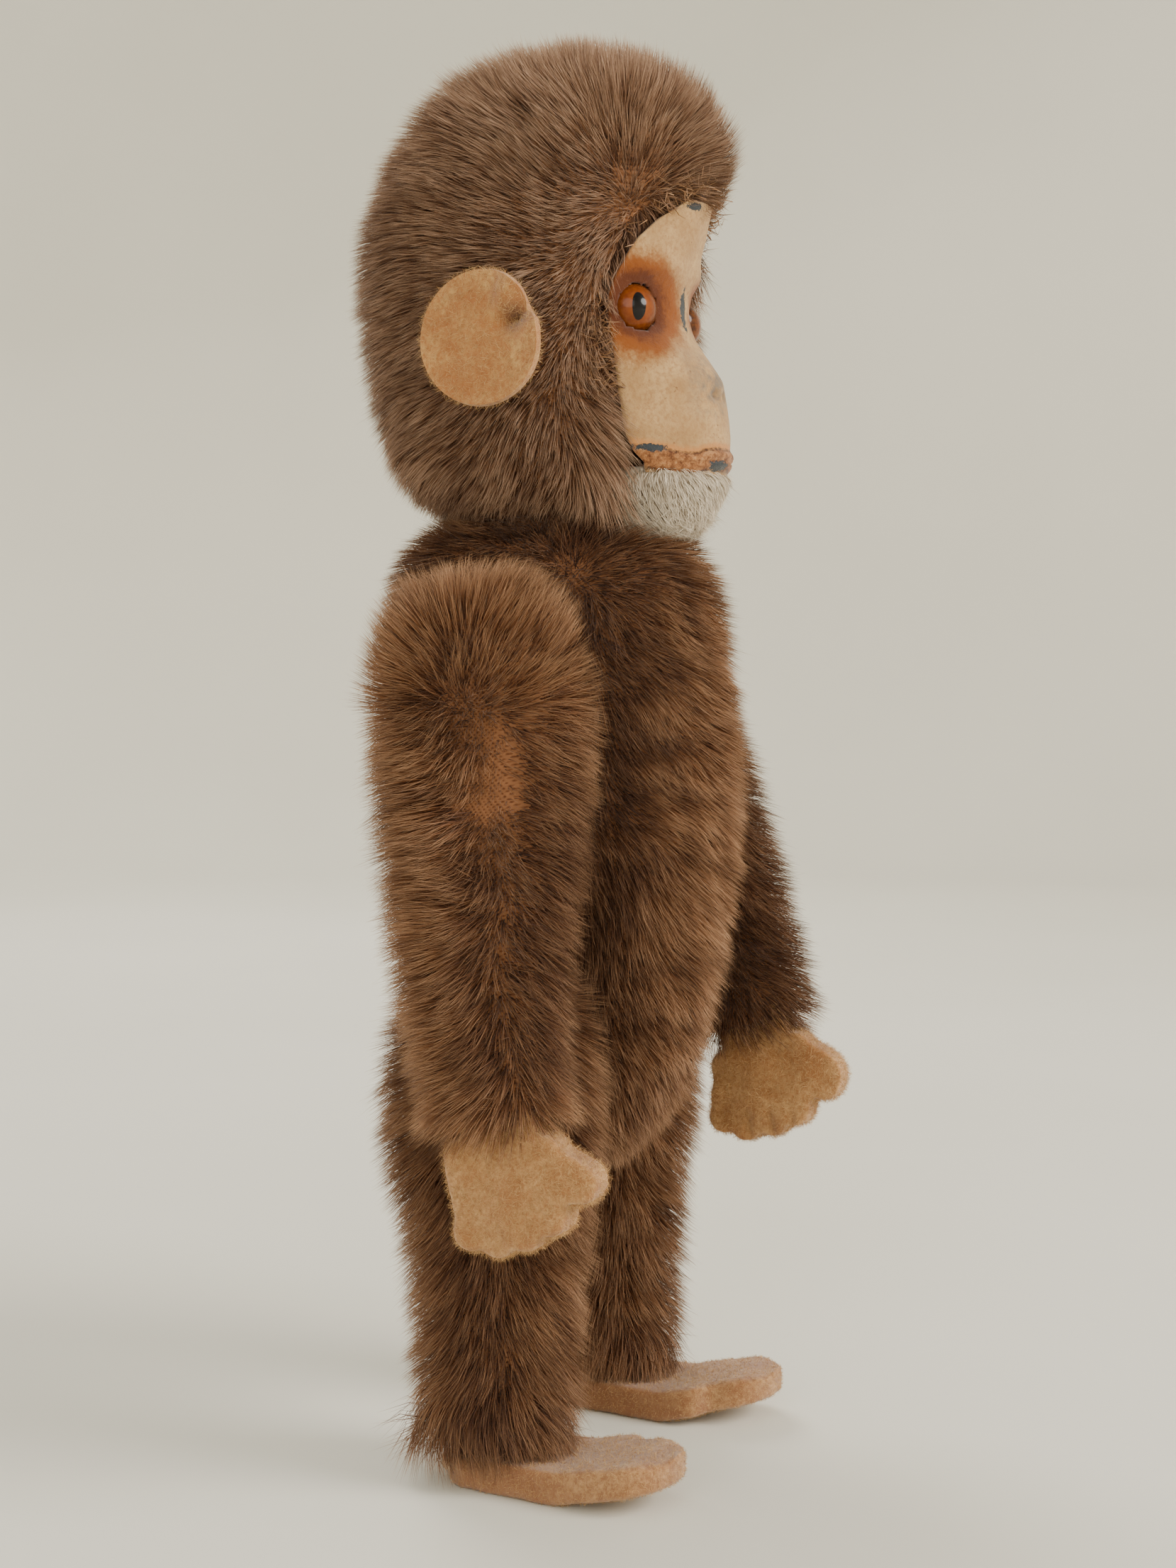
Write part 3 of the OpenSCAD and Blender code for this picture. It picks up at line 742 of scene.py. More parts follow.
def pile_on(piece, body, comb, length, lean, keep, seed, tone_at, every=7, strength=0.34):
    """Pile of one cloth: (paths, widths, tones). comb, length, lean, keep and tone_at are
    functions of the roots' places; comb takes their normals too."""
    draw = np.random.default_rng(seed)

    def stay(points, normals):
        return (1 - flat_share(body, points)) * keep(points)

    place, normal = scatter(piece, DENSITY, draw, stay)
    flow = comb(place, normal)
    flow = flow + 0.35 * SWIRL(place)[:, None] * np.cross(normal, flow)
    size = length(place) * draw.uniform(0.78, 1.08, len(place)) * (1 + 0.08 * FINE(place))
    tilt = lean(place) + 0.15 * PATCHY(place) + 0.12 * draw.normal(size=len(place))
    paths = strand_paths(place, normal, flow, size, np.clip(tilt, 0.08, 1.25), draw)
    paths, group = clump(paths, every, strength, draw)
    paths, _ = clump(paths, every * 9, strength * 0.6, draw)
    group_tone = draw.normal(size=group.max() + 1)[group]
    tone = 0.5 + 0.10 * group_tone + 0.12 * draw.normal(size=len(place))
    tone += 0.12 * PATCHY(place) + tone_at(place)
    width = draw.uniform(0.07, 0.15, len(place)) * MM
    stray = draw.random(len(place)) < 0.03
    paths[stray] += (paths[stray] - paths[stray, :1]) * 0.18
    width[stray] *= 0.6
    tone[stray] += 0.2
    return [(paths, width, np.clip(tone, 0, 1))]


def side_of(points):
    return np.where(points[:, 0] < 0, -1.0, 1.0)


def mm(points):
    """Places in millimetres about the toy's own middle plane."""
    return (points - np.array([0, AXIS_Y, 0])) / MM


def metres(p):
    """The other way: from millimetres about the middle plane to places in the scene."""
    return p * MM + np.array([0, AXIS_Y, 0])


WHORL = np.array([12.5, -21.0, 190.0])       # where the head's pile starts, mirrored on the left


def from_whorl(points):
    p = mm(points)
    both = np.ones((len(p), 3))
    both[:, 0] = side_of(points)
    return p - WHORL * both


def head_comb(points, normals):
    p = mm(points)
    down = np.zeros(p.shape)
    down[:, 1] = 0.3
    down[:, 2] = -1
    back = smoothstep(p[:, 1], -6, 22)[:, None]
    low = fade(p[:, 2], 160, 176)[:, None]
    hem = fade(p[:, 2], 149, 154)[:, None]
    cheek = fade(p[:, 1], -14, -8) * fade(p[:, 2], 162, 170)
    flow = unit(from_whorl(points)) * (1 - 0.5 * back) + down * (0.6 * back + 0.5 * low)
    flow[:, 1] -= 1.4 * cheek + 1.1 * loose_side(p)
    return flow * (1 - 0.7 * hem * (1 - cheek[:, None]))


def loose_side(p):
    """1 beside the face on the toy's left, where the pile isn't matted and stands forward."""
    return smoothstep(p[:, 0], 8, 13) * fade(p[:, 1], -13, -6) * fade(p[:, 2], 188, 194)


def head_length(points):
    p = mm(points)
    away = lengths(from_whorl(points))
    size = 6.3 + 0.7 * smoothstep(p[:, 2], 192, 206)
    size -= 1.6 * fade(p[:, 2], 148, 156)
    size *= 0.55 + 0.45 * smoothstep(away, 1.0, 8.0)
    beside_face = fade(p[:, 1], -14, -7) * fade(p[:, 2], 182, 188)
    cheek = fade(p[:, 1], -14, -8) * fade(p[:, 2], 158, 166)
    corner = cheek * fade(p[:, 2], 155, 160)
    return (size - 1.6 * beside_face + 4.6 * cheek + 1.6 * corner + 3.6 * loose_side(p)) * MM


def head_lean(points):
    """Flatter near the whorl and beside the face, where the seam pulls the pile down."""
    p = mm(points)
    away = lengths(from_whorl(points))
    beside_face = fade(p[:, 1], -15, -9) * fade(p[:, 2], 182, 188)
    return 0.60 + 0.45 * fade(away, 3, 14) + 0.3 * beside_face


def head_tone(points):
    """Paler on the crown and beside the face."""
    p = mm(points)
    beside_face = fade(p[:, 1], -13, -6) * fade(p[:, 2], 182, 190)
    return 0.05 + 0.12 * smoothstep(p[:, 2], 190, 204) + 0.12 * beside_face


def head_keep(points):
    """No pile behind the pressed face; sparse on the seam beside it."""
    p = mm(points)
    half = np.interp(p[:, 2], FACE_Z, FACE_HALF) - 1.2
    inside = (np.abs(p[:, 0]) < half) & (p[:, 1] < -8) & (p[:, 2] > FACE_Z[0]) \
        & (p[:, 2] < FACE_Z[-1] - 0.8)
    chin = (np.abs(p[:, 0]) < 9) & (p[:, 1] < -12) & (p[:, 2] < FACE_Z[0] + 0.5)
    ear = np.hypot(p[:, 1] - EAR_Y, p[:, 2] - EAR_Z) < 7.5
    seam = np.where(lengths(from_whorl(points)) < 2.2, 0.5, 1.0)
    return np.where(inside | chin | ear, 0.0, seam)


def heading(points, x=0.0, y=0.0, z=0.0):
    return np.stack([x + np.zeros(len(points)), y + np.zeros(len(points)),
                     z + np.zeros(len(points))], axis=1)


def body_comb(points, normals):
    """Down, and away from the seam that runs down the middle of the front."""
    p = mm(points)
    seam = bell(p[:, 0], 6.0)
    front = fade(p[:, 1], -20, 0)
    gather = p - GATHER
    near = bell(lengths(gather), 7.0)[:, None]
    flow = heading(p, side_of(points) * (0.25 * seam - 0.15), -0.55 * front, -0.85)
    return flow * (1 - near) + unit(gather) * near


def arm_comb(points, normals):
    """Out to both sides from a line down the outer face, rising over the shoulder."""
    p = mm(points)
    z = p[:, 2]
    middle = np.interp(z, [55, 90, 122], [-14, -9, 0])
    aside = np.tanh((p[:, 1] - middle) / 4.0)
    over = smoothstep(z, 112, 126)
    cuff = fade(z, 60, 74)
    flow = heading(p, 0, 0.75 * aside, -0.5 * (1 - over) + 0.9 * over - 0.2 * cuff)
    from_dimple = p - DIMPLE
    near = bell(lengths(from_dimple), 6.0)[:, None]
    return flow * (1 - near) + unit(from_dimple) * near


def leg_comb(points, normals):
    p = mm(points)
    aside = np.tanh(p[:, 1] / 6.0)
    hem = fade(p[:, 2], 10, 18)
    flow = heading(p, 0, 0.5 * aside, -0.7)
    return flow * (1 - hem[:, None]) + heading(p, 0, 0.12 * aside, -1) * hem[:, None]


GATHER = np.array([-17.0, -10.5, 137.0])                       # a pinch at the top of the chest
BALD = {"right_arm": (np.array([-37.5, -7.3, 106.8]), 7.5)}   # worn down to the cloth
DIMPLE = np.array([-37.0, 5.2, 118.0])                         # drawn in over the shoulder pin
DIMPLE_DEPTH = 3.0


def worn(points, body):
    """0 in a worn patch, 1 outside it, with a ragged edge."""
    if body not in BALD:
        return np.ones(len(points))
    centre, radius = BALD[body]
    p = mm(points)
    far = lengths((p - centre) * np.array([0.6, 1.1, 0.8]))
    return smoothstep(far + 1.6 * FINE(points) + 1.8 * PATCHY(points), radius * 0.3, radius)


def limb_length(body, low_z, top_z):
    def size(points):
        z = mm(points)[:, 2]
        cuff = fade(z, low_z, low_z + 9)
        base = 8.0 + 1.6 * cuff + 0.6 * smoothstep(z, top_z - 12, top_z)
        if body.endswith("leg"):
            heel = smoothstep(mm(points)[:, 1], 0, 9)
            base += (3.5 * heel - 0.2) * fade(z, low_z, low_z + 6)
        return base * MM * (0.3 + 0.7 * worn(points, body))
    return size


def limb_lean(body, low_z):
    """Pile flares round an arm's cuff and hangs over a foot round a leg's hem."""
    change = 0.75 if body.endswith("leg") else -0.10

    def tilt(points):
        z = mm(points)[:, 2]
        return 0.66 + change * fade(z, low_z + 1, low_z + 9)
    return tilt


def build_head():
    cloth = make_backing("head", "head_cover", 2.2, 1.5, 0.5)
    points = points_of(cloth.data)
    p = mm(points)
    half = np.interp(p[:, 2], FACE_Z, FACE_HALF)
    behind = (np.abs(p[:, 0]) < half + 0.6) & (p[:, 1] < 0) & (p[:, 2] > FACE_Z[0] - 1) \
        & (p[:, 2] < FACE_Z[-1] + 1)
    depth = np.interp(p[:, 2], FACE_Z, FACE_EDGE_Y) + 2.0
    p[behind, 1] = np.maximum(p[behind, 1], depth[behind])
    pinch = bell(lengths(from_whorl(metres(p))), 3.0)
    p -= normals_of(cloth.data) * 1.4 * pinch[:, None]
    move_points(cloth.data, metres(p))
    parts = pile_on(cloth, "head", head_comb, head_length, head_lean, head_keep, 11, head_tone)
    grow("head_pile", "head", HEAD_PILE, parts, np.random.default_rng(12))
    seam_yarn(cloth)


# Where the head's seams show, from the whorl down beside the face and along its top; the
# left side mirrors the right.
SEAMS = [
    [(12.5, -21, 190), (16, -17.5, 182), (17, -15.5, 172), (16, -16.5, 163)],
    [(12.5, -21, 190), (10, -22.5, 190.5), (5, -25, 194), (0, -26, 195)],
]


def near_seams(points, reach):
    p = mm(points)
    p[:, 0] = np.abs(p[:, 0])
    far = np.full(len(p), 99.0)
    for line in SEAMS:
        for a, b in zip(np.array(line, float), np.array(line, float)[1:]):
            t = np.clip((p - a) @ (b - a) / ((b - a) @ (b - a)), 0, 1)
            far = np.minimum(far, lengths(p - a - t[:, None] * (b - a)))
    return far < reach


def seam_yarn(cloth):
    """The pile's own yarn, caught in the seams and curled."""
    draw = np.random.default_rng(15)
    place, normal = scatter(cloth, 5.0, draw, lambda q, n: near_seams(q, 2.6) * head_keep(q))
    flow = draw.normal(size=place.shape)
    size = draw.uniform(2.4, 5.2, len(place)) * MM
    paths = strand_paths(place, normal, flow, size, draw.uniform(0.2, 1.1, len(place)), draw, 0.6)
    curl = draw.normal(size=(len(place), 3)) * 0.9 * MM
    paths[:, 1] += curl
    tone = np.clip(0.5 + 0.2 * draw.normal(size=len(place)), 0, 1)
    width = draw.uniform(0.16, 0.30, len(place)) * MM
    grow("seam_yarn", "head", YARN, [(paths, width, tone)], draw)


def build_trunk():
    cloth = make_backing("trunk", "body_cover", 3.2, 1.8, 0.6)

    def size(points):
        z = mm(points)[:, 2]
        return (7.0 - 1.0 * smoothstep(z, 136, 146)) * MM

    def lean(points):
        return 0.68 - 0.12 * fade(mm(points)[:, 1], -28, -18)

    def tone(points):
        # Painted light and shade: the front is painted paler, as if lit, and the sides and back below
        # the shoulders, beside the arms, are painted darker as shade.
        p = mm(points)
        front = smoothstep(-p[:, 1] + 0.4 * PATCHY(points) * 6, 17, 27)
        beside_arm = smoothstep(np.abs(p[:, 0]), 6, 13) * (1 - front)
        return 0.24 * front - 0.32 * beside_arm * fade(p[:, 2], 132, 146)

    parts = pile_on(cloth, "trunk", body_comb, size, lean, lambda q: np.ones(len(q)), 21, tone)
    grow("trunk_pile", "trunk", PILE, parts, np.random.default_rng(22))


def arm_tone(points):
    """Darker low down on the front edge, paler over the shoulder and at the cuff."""
    p = mm(points)
    low = fade(p[:, 2], 96, 116)
    front = smoothstep(-p[:, 1] + 5 * PATCHY(points), 4, 14)
    cuff = fade(p[:, 2], 60, 70)
    return 0.12 - 0.36 * low * front * (1 - cuff) + 0.10 * smoothstep(p[:, 2], 112, 124)


def leg_tone(points):
    """Darker down the middle of the outer face than at the edges."""
    p = mm(points)
    middle = bell(p[:, 1] + 2, 8.0)
    return 0.12 - 0.34 * middle * smoothstep(np.abs(p[:, 0]), 12, 20)


def build_limb(body, node, comb, seed, low_z, top_z):
    cloth = make_backing(body, node, 3.2, 1.5, 0.6)
    if body == "right_arm":
        points = points_of(cloth.data)
        pull = DIMPLE_DEPTH * MM * bell(lengths(mm(points) - DIMPLE), 3.6)
        move_points(cloth.data, points + pull[:, None] * np.array([1.0, 0, 0]))
    tone = arm_tone
    if body.endswith("leg"):
        tone = leg_tone
        points = points_of(cloth.data)
        low_end = fade(mm(points)[:, 2], low_z + 2, low_z + 12)
        points[:, 2] -= 2.8 * MM * low_end                # its end rests on the foot
        move_points(cloth.data, points)
    parts = pile_on(cloth, body, comb, limb_length(body, low_z, top_z), limb_lean(body, low_z),
                    lambda q: 0.20 + 0.80 * worn(q, body), seed, tone, strength=0.4)
    for paths, _, _ in parts:
        paths[..., 2] = np.maximum(paths[..., 2], 0.1 * MM)      # bent where it meets the floor
    grow(body + "_pile", body, PILE, parts, np.random.default_rng(seed + 5))


# ---------------------------------------------------------------- face

FACE_ROWS = 15            # rows of points in the CAD face


def read_face():
    """The CAD face's outline: at each height its half-width, and its y there."""
    p = mm(points_of(NODES["face_mask"].data))
    rows = []
    for z in np.linspace(p[:, 2].min(), p[:, 2].max(), FACE_ROWS):
        here = p[np.abs(p[:, 2] - z) < 0.1]
        half = np.abs(here[:, 0]).max()
        edge = here[np.abs(here[:, 0]) > half - 0.4]
        rows.append((z, half, edge[:, 1].min()))
    return tuple(np.array(c) for c in zip(*rows))


FACE_Z, FACE_HALF, FACE_EDGE_Y = read_face()
FACE_STEP = 0.34          # mm between the face's points
MASK_MM = 0.8


def face_surface(x, z, tree):
    """y of the CAD face's front at x, z in millimetres, holes bridged."""
    start = Vector((x * MM, AXIS_Y - 60 * MM, z * MM))
    hit = tree.ray_cast(start, Vector((0, 1, 0)))[0]
    return None if hit is None else (hit.y - AXIS_Y) / MM


def build_face():
    tree = BVHTree.FromObject(NODES["face_mask"], bpy.context.evaluated_depsgraph_get())
    rows = int((FACE_Z[-1] - FACE_Z[0]) / FACE_STEP)
    cols = int(2 * FACE_HALF.max() / FACE_STEP)
    zs = np.linspace(FACE_Z[0] + 0.02, FACE_Z[-1] - 0.02, rows)
    us = np.linspace(-1, 1, cols)
    half = np.interp(zs, FACE_Z, FACE_HALF)
    edge_y = np.interp(zs, FACE_Z, FACE_EDGE_Y)
    mid_y = np.array([face_surface(0.0, z, tree) for z in zs], float)
    for _ in range(30):                        # rounds off the CAD face's straight rows
        mid_y[1:-1] = (mid_y[:-2] + 2 * mid_y[1:-1] + mid_y[2:]) / 4
        edge_y[1:-1] = (edge_y[:-2] + 2 * edge_y[1:-1] + edge_y[2:]) / 4
    x = us[None] * half[:, None] * 0.995
    z = np.repeat(zs[:, None], cols, axis=1)
    y = mid_y[:, None] + (edge_y - mid_y)[:, None] * us[None] ** 2
    ax = np.abs(x)

    def dome(cx, cz, rx, rz):
        return bell(ax - cx, rx) * bell(z - cz, rz)

    eye_x, eye_z = EYE["left"][[0, 2]] / MM
    y += 1.0 * dome(eye_x - 0.5, eye_z, 4.6, 4.2)       # eye sockets
    y -= 0.8 * dome(eye_x - 1.5, eye_z + 6.4, 5.0, 1.8)  # brows
    y -= 0.8 * dome(9.0, 167.5, 5.0, 4.0)               # cheeks
    y += 0.9 * dome(1.7, 163.6, 0.9, 0.8)               # nostrils
    y -= 0.6 * dome(0.0, 166.0, 3.0, 2.0)               # nose
    lip = z - MOUTH_Z + MOUTH_SAG * bell(ax - MOUTH_DIP, 3.0)
    y -= 0.85 * np.exp(-(lip / 1.35) ** 4) * fade(ax, 11.6, 13.2)
    y += 0.45 * bell(lip, 0.35) * fade(ax, 9.5, 12.0)
    place = metres(np.stack([x, y, z], axis=2).reshape(-1, 3))
    place += 0.00005 * FINE(place)[:, None] * np.array([0, 1, 0])
    gone = np.zeros(len(place), bool)
    ragged = Field(31, 2.2)(place)
    for side in SIDES:
        rel = place - EYE[side]
        ahead = rel @ HOLE[side]
        out = lengths(rel - ahead[:, None] * HOLE[side]) / MM
        gone |= (out < 3.3 + 0.25 * ragged) & (ahead > 0)
    index = np.arange(rows * cols).reshape(rows, cols)
    quads = np.stack([index[:-1, :-1], index[:-1, 1:], index[1:, 1:], index[1:, :-1]], axis=2)
    quads = quads.reshape(-1, 4)
    quads = quads[~gone[quads].any(axis=1)]
    mesh = bpy.data.meshes.new("face")
    mesh.from_pydata(place.tolist(), [], quads.tolist())
    bm = bmesh.new()
    bm.from_mesh(mesh)
    bmesh.ops.delete(bm, geom=[v for v in bm.verts if not v.link_faces], context="VERTS")
    bm.to_mesh(mesh)
    face = dress(in_scene("face", mesh), "head", face_material())
    with_modifier(face, "SOLIDIFY", thickness=MASK_MM * MM, offset=-1)
    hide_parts("face_mask")


def build_eyes():
    """A glass ball, a little flattened behind and domed in front over the pupil."""
    for side in SIDES:
        bm = bmesh.new()
        bmesh.ops.create_uvsphere(bm, u_segments=48, v_segments=32, radius=EYE_R)
        gaze = Vector(GAZE[side])
        turn = Vector((0, 0, 1)).rotation_difference(gaze).to_matrix().to_4x4()
        for v in bm.verts:
            dome = float(bell(v.co.xy.length / EYE_R, 0.55))
            v.co.z += 0.05 * EYE_R * dome if v.co.z > 0 else -0.12 * v.co.z * dome
        bmesh.ops.transform(bm, matrix=Matrix.Translation(EYE[side]) @ turn, verts=bm.verts)
        mesh = bpy.data.meshes.new(side + "_glass_eye")
        bm.to_mesh(mesh)
        eye = dress(in_scene(side + "_glass_eye", mesh), "head", eye_material(side))
        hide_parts(side + "_eye")


def build_chin():
    piece = outer_skin("chin_beard", 0.6)
    p = mm(points_of(piece.data))
    top = p[:, 2].max()
    fall = (top - p[:, 2]) / (top - p[:, 2].min())     # 0 at the mouth, 1 at the chin's end
    p[:, 1] += 1.3 + 5.0 * smoothstep(p[:, 1], -24, -19.5) + 2.6 * fall ** 2
    p[:, 0] *= 1.04 - 0.25 * fall ** 2
    p[:, 2] = top + 1.3 - (top - p[:, 2]) * 1.6        # from behind the face to below the neck
    move_points(piece.data, metres(p))
    piece.name = piece.data.name = "chin_cloth"
    dress(piece, "head", WHITE_GROUND)
    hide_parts("chin_beard")
    draw = np.random.default_rng(41)
    place, normal = scatter(piece, DENSITY * 2.0, draw,
                            lambda q, n: (n[:, 2] < 0.6) * (n[:, 1] < 0.6) * 1.0)
    flow = heading(place, 0.1 * side_of(place), -0.45, -1)
    flow = flow + 0.3 * SWIRL(place)[:, None] * np.cross(normal, flow)
    lower = fade(mm(place)[:, 2], 145, 149)
    size = (draw.uniform(1.8, 2.8, len(place)) + 2.0 * lower) * MM
    paths = strand_paths(place, normal, flow, size, np.full(len(place), 1.05), draw, 0.3)
    paths, _ = clump(paths, 8, 0.6, draw)
    tone = 0.5 + 0.16 * draw.normal(size=len(place)) + 0.2 * FINE(place)
    width = draw.uniform(0.08, 0.14, len(place)) * MM
    grow("chin_pile", "head", WHITE_PILE, [(paths, width, np.clip(tone, 0, 1))], draw)


# ---------------------------------------------------------------- felt

def fuzz(name, piece, body, material, per_mm2, length_mm, seed):
    """Loose wool fibres that stand off the felt."""
    draw = np.random.default_rng(seed)
    place, normal = scatter(piece, per_mm2, draw, lambda q, n: np.ones(len(q)))
    flow = draw.normal(size=place.shape)
    size = draw.uniform(0.4, 1.0, len(place)) * length_mm * MM
    paths = strand_paths(place, normal, flow, size, draw.uniform(0.7, 1.5, len(place)), draw, 0.5)
    paths[..., 2] = np.maximum(paths[..., 2], 0)
    tone = np.clip(0.55 + 0.2 * draw.normal(size=len(place)), 0, 1)
    width = draw.uniform(0.035, 0.06, len(place)) * MM
    grow(name, body, material, [(paths, width, tone)], draw)


DART_TURN = 0.50         # where an ear's dart points, up from straight forward, in radians
DART_R = 5.6             # and how far from the ear's middle it ends, in millimetres
EAR_RINGS = 34           # rings of points on an ear, and points on each
EAR_SPOKES = 150
EAR_FELT_MM = 1.1


def ear_shape(out, a, radius):
    """How far an ear's felt stands off the head, and how far from the ear's middle it lies, in
    millimetres, at the share out of its radius and the angle a up from straight forward."""
    reach = out * radius * (1 - 0.035 * max(math.cos(a), 0) ** 3)
    turn = (a - DART_TURN + math.pi) % (2 * math.pi) - math.pi
    crease = bell(turn, 0.2) * smoothstep(out, 0.35, 0.85)
    pinch = bell(reach * math.cos(turn) - DART_R, 2.2) * bell(reach * math.sin(turn), 1.6)
    fold = bell(turn - 0.45, 0.24) * smoothstep(out, 0.3, 0.8)
    below = bell(turn + 0.45, 0.3) * smoothstep(out, 0.3, 0.9)
    cup = 1.2 * out ** 3 * (0.8 + 0.2 * math.sin(2 * a + 0.6))
    stand = 1.7 + 0.5 * cup + 1.3 * fold + 0.5 * below - 1.5 * crease - 2.2 * pinch
    return stand, reach * (1 - 0.16 * crease)


def ring_faces(rings, spokes):
    """Faces of a disc whose points go ring by ring, with the first ring all in the middle."""
    faces = [(s, spokes + s, spokes + (s + 1) % spokes) for s in range(spokes)]
    for k in range(1, rings):
        for s in range(spokes):
            t = (s + 1) % spokes
            faces.append((k * spokes + s, (k + 1) * spokes + s, (k + 1) * spokes + t, k * spokes + t))
    return faces


def build_ears():
    """A round of felt with a dart at its front edge that cups it, sewn flat to the head."""
    for side, sign in SIDES.items():
        low, high = box_mm(side + "_ear")
        radius = (high[2] - low[2]) / 2
        cy, cz = (low[1] + high[1]) / 2, (low[2] + high[2]) / 2
        head_x = low[0] if sign > 0 else high[0]
        verts = []
        for k in range(EAR_RINGS + 1):
            for s in range(EAR_SPOKES):
                a = 2 * math.pi * s / EAR_SPOKES
                stand, reach = ear_shape(k / EAR_RINGS, a, radius)
                verts.append((head_x + sign * stand, cy - reach * math.cos(a),
                              cz + reach * math.sin(a)))
        verts = np.array(verts) * MM
        verts[:, 0] += sign * 0.12 * MM * Field(50 + sign, 9)(verts)
        mesh = bpy.data.meshes.new(side + "_felt_ear")
        mesh.from_pydata(verts.tolist(), [], ring_faces(EAR_RINGS, EAR_SPOKES))
        bm = bmesh.new()
        bm.from_mesh(mesh)
        bmesh.ops.remove_doubles(bm, verts=bm.verts[:], dist=1e-6)
        bmesh.ops.delete(bm, geom=[v for v in bm.verts if not v.link_faces], context="VERTS")
        bmesh.ops.recalc_face_normals(bm, faces=bm.faces[:])
        bm.to_mesh(mesh)
        ear = dress(in_scene(side + "_felt_ear", mesh), "head", EAR_FELT)
        with_modifier(ear, "SOLIDIFY", thickness=EAR_FELT_MM * MM, offset=0)
        with_modifier(ear, "BEVEL", width=0.3 * MM, segments=2, limit_method="ANGLE")
        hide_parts(side + "_ear")
        fuzz(side + "_ear_fuzz", ear, "head", FELT_FUZZ, 9, 1.4, 60 + sign)


def felt_from(node, voxel_mm, soften, name, body, material, shape):
    """A stuffed felt piece from its CAD solid, with rounded edges; shape moves its points."""
    piece = outer_skin(node, voxel_mm)
    with_modifier(piece, "SMOOTH", factor=0.5, iterations=soften)
    move_points(piece.data, shape(points_of(piece.data), normals_of(piece.data)))
    with_modifier(piece, "SUBSURF", levels=1)
    piece.name = piece.data.name = name
    dress(piece, body, material)
    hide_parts(node)
    return piece


def build_hand(side):
    """A plump mitt. The left one is creased between its fingers."""
    body = side + "_arm"
    middle = box_middle(side + "_hand") / MM
    pivot = joint_place(side + "_shoulder") / MM
    swing = math.atan2(-(middle[1] - pivot[1]), -(middle[2] - pivot[2]))
    down = np.array([0, -math.sin(swing), -math.cos(swing)])
    front = np.array([0, -math.cos(swing), math.sin(swing)])
    crease_depth = 0.5 if side == "left" else 0.12
    droop = math.radians(16) if side == "left" else 0.0
    root = -5.0                       # where the hand starts to bend back

    def shape(points, normals):
        p = points / MM - middle
        u, v = p @ front, p @ down    # towards the thumb, and towards the fingertips
        outward_x = np.sign(p[:, 0])
        face = smoothstep(np.abs(normals[:, 0]), 0.4, 0.9)
        creases = np.zeros(len(p))
        for at in (-4.4, -0.4, 3.4):
            creases += bell(u - at, 0.6) * smoothstep(v, 4.0, 8.5)
        swell = 0.5 * bell(u, 6.0) * bell(v - 4.0, 6.0)
        push = outward_x * face * (swell - crease_depth * creases) + 0.25 * PATCHY(points)
        bend = droop * smoothstep(v, root, root + 10)
        back = (v - root) * np.sin(bend) + u * (1 - np.cos(bend))
        rise = (v - root) * (1 - np.cos(bend)) - u * np.sin(bend)
        moved = p - back[:, None] * front - rise[:, None] * down
        moved[:, 0] += push
        return (moved + middle) * MM

    hand = felt_from(side + "_hand", 0.5, 4, side + "_felt_hand", body, FELT, shape)
    fuzz(side + "_hand_fuzz", hand, body, FELT_FUZZ, 16, 1.4, 70 + SIDES[side])


def build_foot(side):
    """A foot that thins towards its turned-up toes and its heel."""
    body = side + "_leg"
    low, high = box_mm(side + "_foot")
    points = points_of(NODES[side + "_foot"].data) / MM
    thick = points[points[:, 1] > high[1] - 12, 2].max()
    bend = points[points[:, 2] < 0.05, 1].min()           # the y where the sole leaves the floor
    slope = low[2] + points[points[:, 1] < low[1] + 3, 2].min() / (bend - low[1])

    def shape(points, normals):
        p = points / MM
        sole = slope * np.maximum(bend - p[:, 1], 0)
        share = np.clip((p[:, 2] - sole) / thick, 0, 1)
        toes = fade(p[:, 1], low[1], low[1] + 15)
        heel = smoothstep(p[:, 1], high[1] - 12, high[1])
        p[:, 2] -= share * (3.4 + 1.2 * toes + 1.0 * heel)
        from_tip = p[:, 1] - low[1]
        ridge = bell(from_tip - 5.5, 2.5) - 0.8 * bell(from_tip - 1.5, 2)
        p[:, 2] += 0.35 * share * ridge
        p[:, 2] = np.maximum(p[:, 2], 0.0)
        p[:, 1] -= 3.5 * heel
        return p * MM

    foot = felt_from(side + "_foot", 0.6, 9, side + "_felt_foot", body, FOOT_FELT, shape)
    fuzz(side + "_foot_fuzz", foot, body, FELT_FUZZ, 10, 0.8, 80 + SIDES[side])


# ---------------------------------------------------------------- inner pieces that stay CAD

def dress_hardware():
    steel = plain_grain_material("dull_steel", (0.42, 0.41, 0.40), (0.22, 0.20, 0.18), 0.9, 0.45, 1.0)
    board = plain_grain_material("pressed_board", (0.40, 0.27, 0.16), (0.26, 0.16, 0.09), 1.4, 0.85)
    card = plain_grain_material("plain_card", (0.52, 0.40, 0.27), (0.38, 0.28, 0.18), 1.1, 0.85)
    for name, node in NODES.items():
        if name.endswith(("_washer", "_pin")) or name == "eye_wires":
            chosen = steel
        elif name.endswith("_disc"):
            chosen = board
        elif name.endswith("_insole"):
            chosen = card
        else:
            continue
        node.data.materials.clear()
        node.data.materials.append(chosen)


# ---------------------------------------------------------------- the whole toy

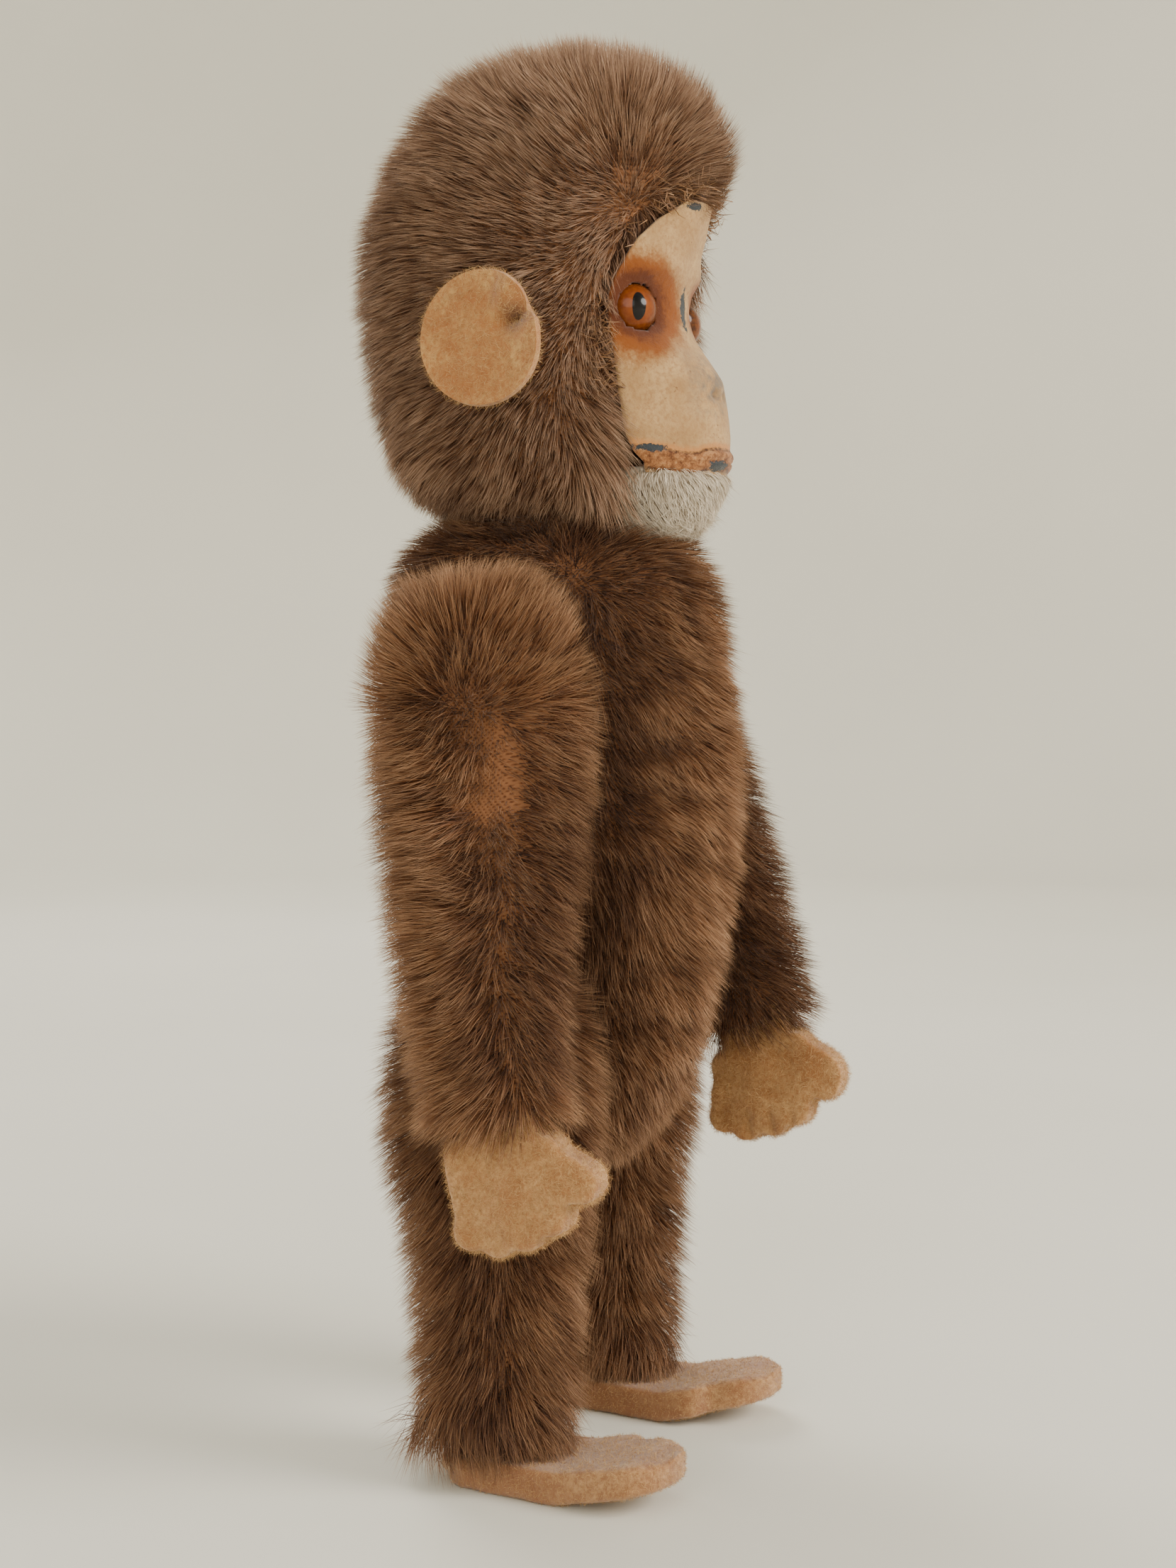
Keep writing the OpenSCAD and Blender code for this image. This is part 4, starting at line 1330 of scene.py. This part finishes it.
place_camera()
light_scene()
build_stage()
GROUND = backing_material()
WHITE_GROUND = plain_grain_material("white_ground", (0.55, 0.47, 0.37), (0.30, 0.23, 0.16), 1.2, 0.95)
# Each pile's dark roots are painted shade deep in the pile, and its pale tips are painted light
# scattered through them.
PILE = pile_material(
    "brown_pile",
    roots=((0.014, 0.0035, 0.001), (0.070, 0.021, 0.006)),
    middles=((0.040, 0.0105, 0.003), (0.23, 0.092, 0.033)),
    tips=((0.105, 0.040, 0.014), (0.54, 0.315, 0.170)))
HEAD_PILE = pile_material(
    "head_pile",
    roots=((0.024, 0.008, 0.003), (0.085, 0.034, 0.013)),
    middles=((0.060, 0.021, 0.009), (0.24, 0.117, 0.058)),
    tips=((0.16, 0.078, 0.040), (0.53, 0.350, 0.225)))
WHITE_PILE = pile_material(
    "white_pile",
    roots=((0.18, 0.12, 0.07), (0.48, 0.38, 0.26)),
    middles=((0.46, 0.37, 0.26), (0.74, 0.64, 0.50)),
    tips=((0.60, 0.51, 0.38), (0.86, 0.78, 0.65)))
FELT_FUZZ = pile_material(
    "felt_fibre",
    roots=((0.38, 0.19, 0.065), (0.56, 0.35, 0.16)),
    middles=((0.40, 0.20, 0.07), (0.62, 0.40, 0.18)),
    tips=((0.44, 0.235, 0.085), (0.72, 0.50, 0.26)), rough=0.9)
FELT = felt_material("hand_wool_felt", (0.63, 0.38, 0.16), (0.48, 0.25, 0.09), (0.33, 0.13, 0.034))
FOOT_FELT = felt_material("foot_wool_felt", (0.52, 0.30, 0.13), (0.42, 0.215, 0.085),
                          (0.25, 0.095, 0.030), near_pile=(-14, -2))
# The ear's felt is painted darker round its dart, as shade in the crease.
EAR_FELT = felt_material("ear_wool_felt", (0.60, 0.35, 0.12), (0.44, 0.215, 0.065),
                         (0.36, 0.125, 0.028),
                         dart=(EAR_Y + AXIS_Y / MM - DART_R * math.cos(DART_TURN),
                               EAR_Z + DART_R * math.sin(DART_TURN)))
YARN = pile_material(
    "seam_yarn",
    roots=((0.09, 0.035, 0.012), (0.20, 0.09, 0.035)),
    middles=((0.15, 0.065, 0.024), (0.33, 0.17, 0.075)),
    tips=((0.20, 0.10, 0.045), (0.48, 0.29, 0.155)), rough=0.8)

build_head()
build_face()
build_eyes()
build_chin()
build_ears()
build_trunk()
for limb_side, limb_seed in (("right", 100), ("left", 200)):
    arm_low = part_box(limb_side + "_arm_cover")[0][2] / MM
    build_limb(limb_side + "_arm", limb_side + "_arm_cover", arm_comb, limb_seed, arm_low, 134)
    build_limb(limb_side + "_leg", limb_side + "_leg_cover", leg_comb, limb_seed + 50, 8.7, 78)
    build_hand(limb_side)
    build_foot(limb_side)
dress_hardware()
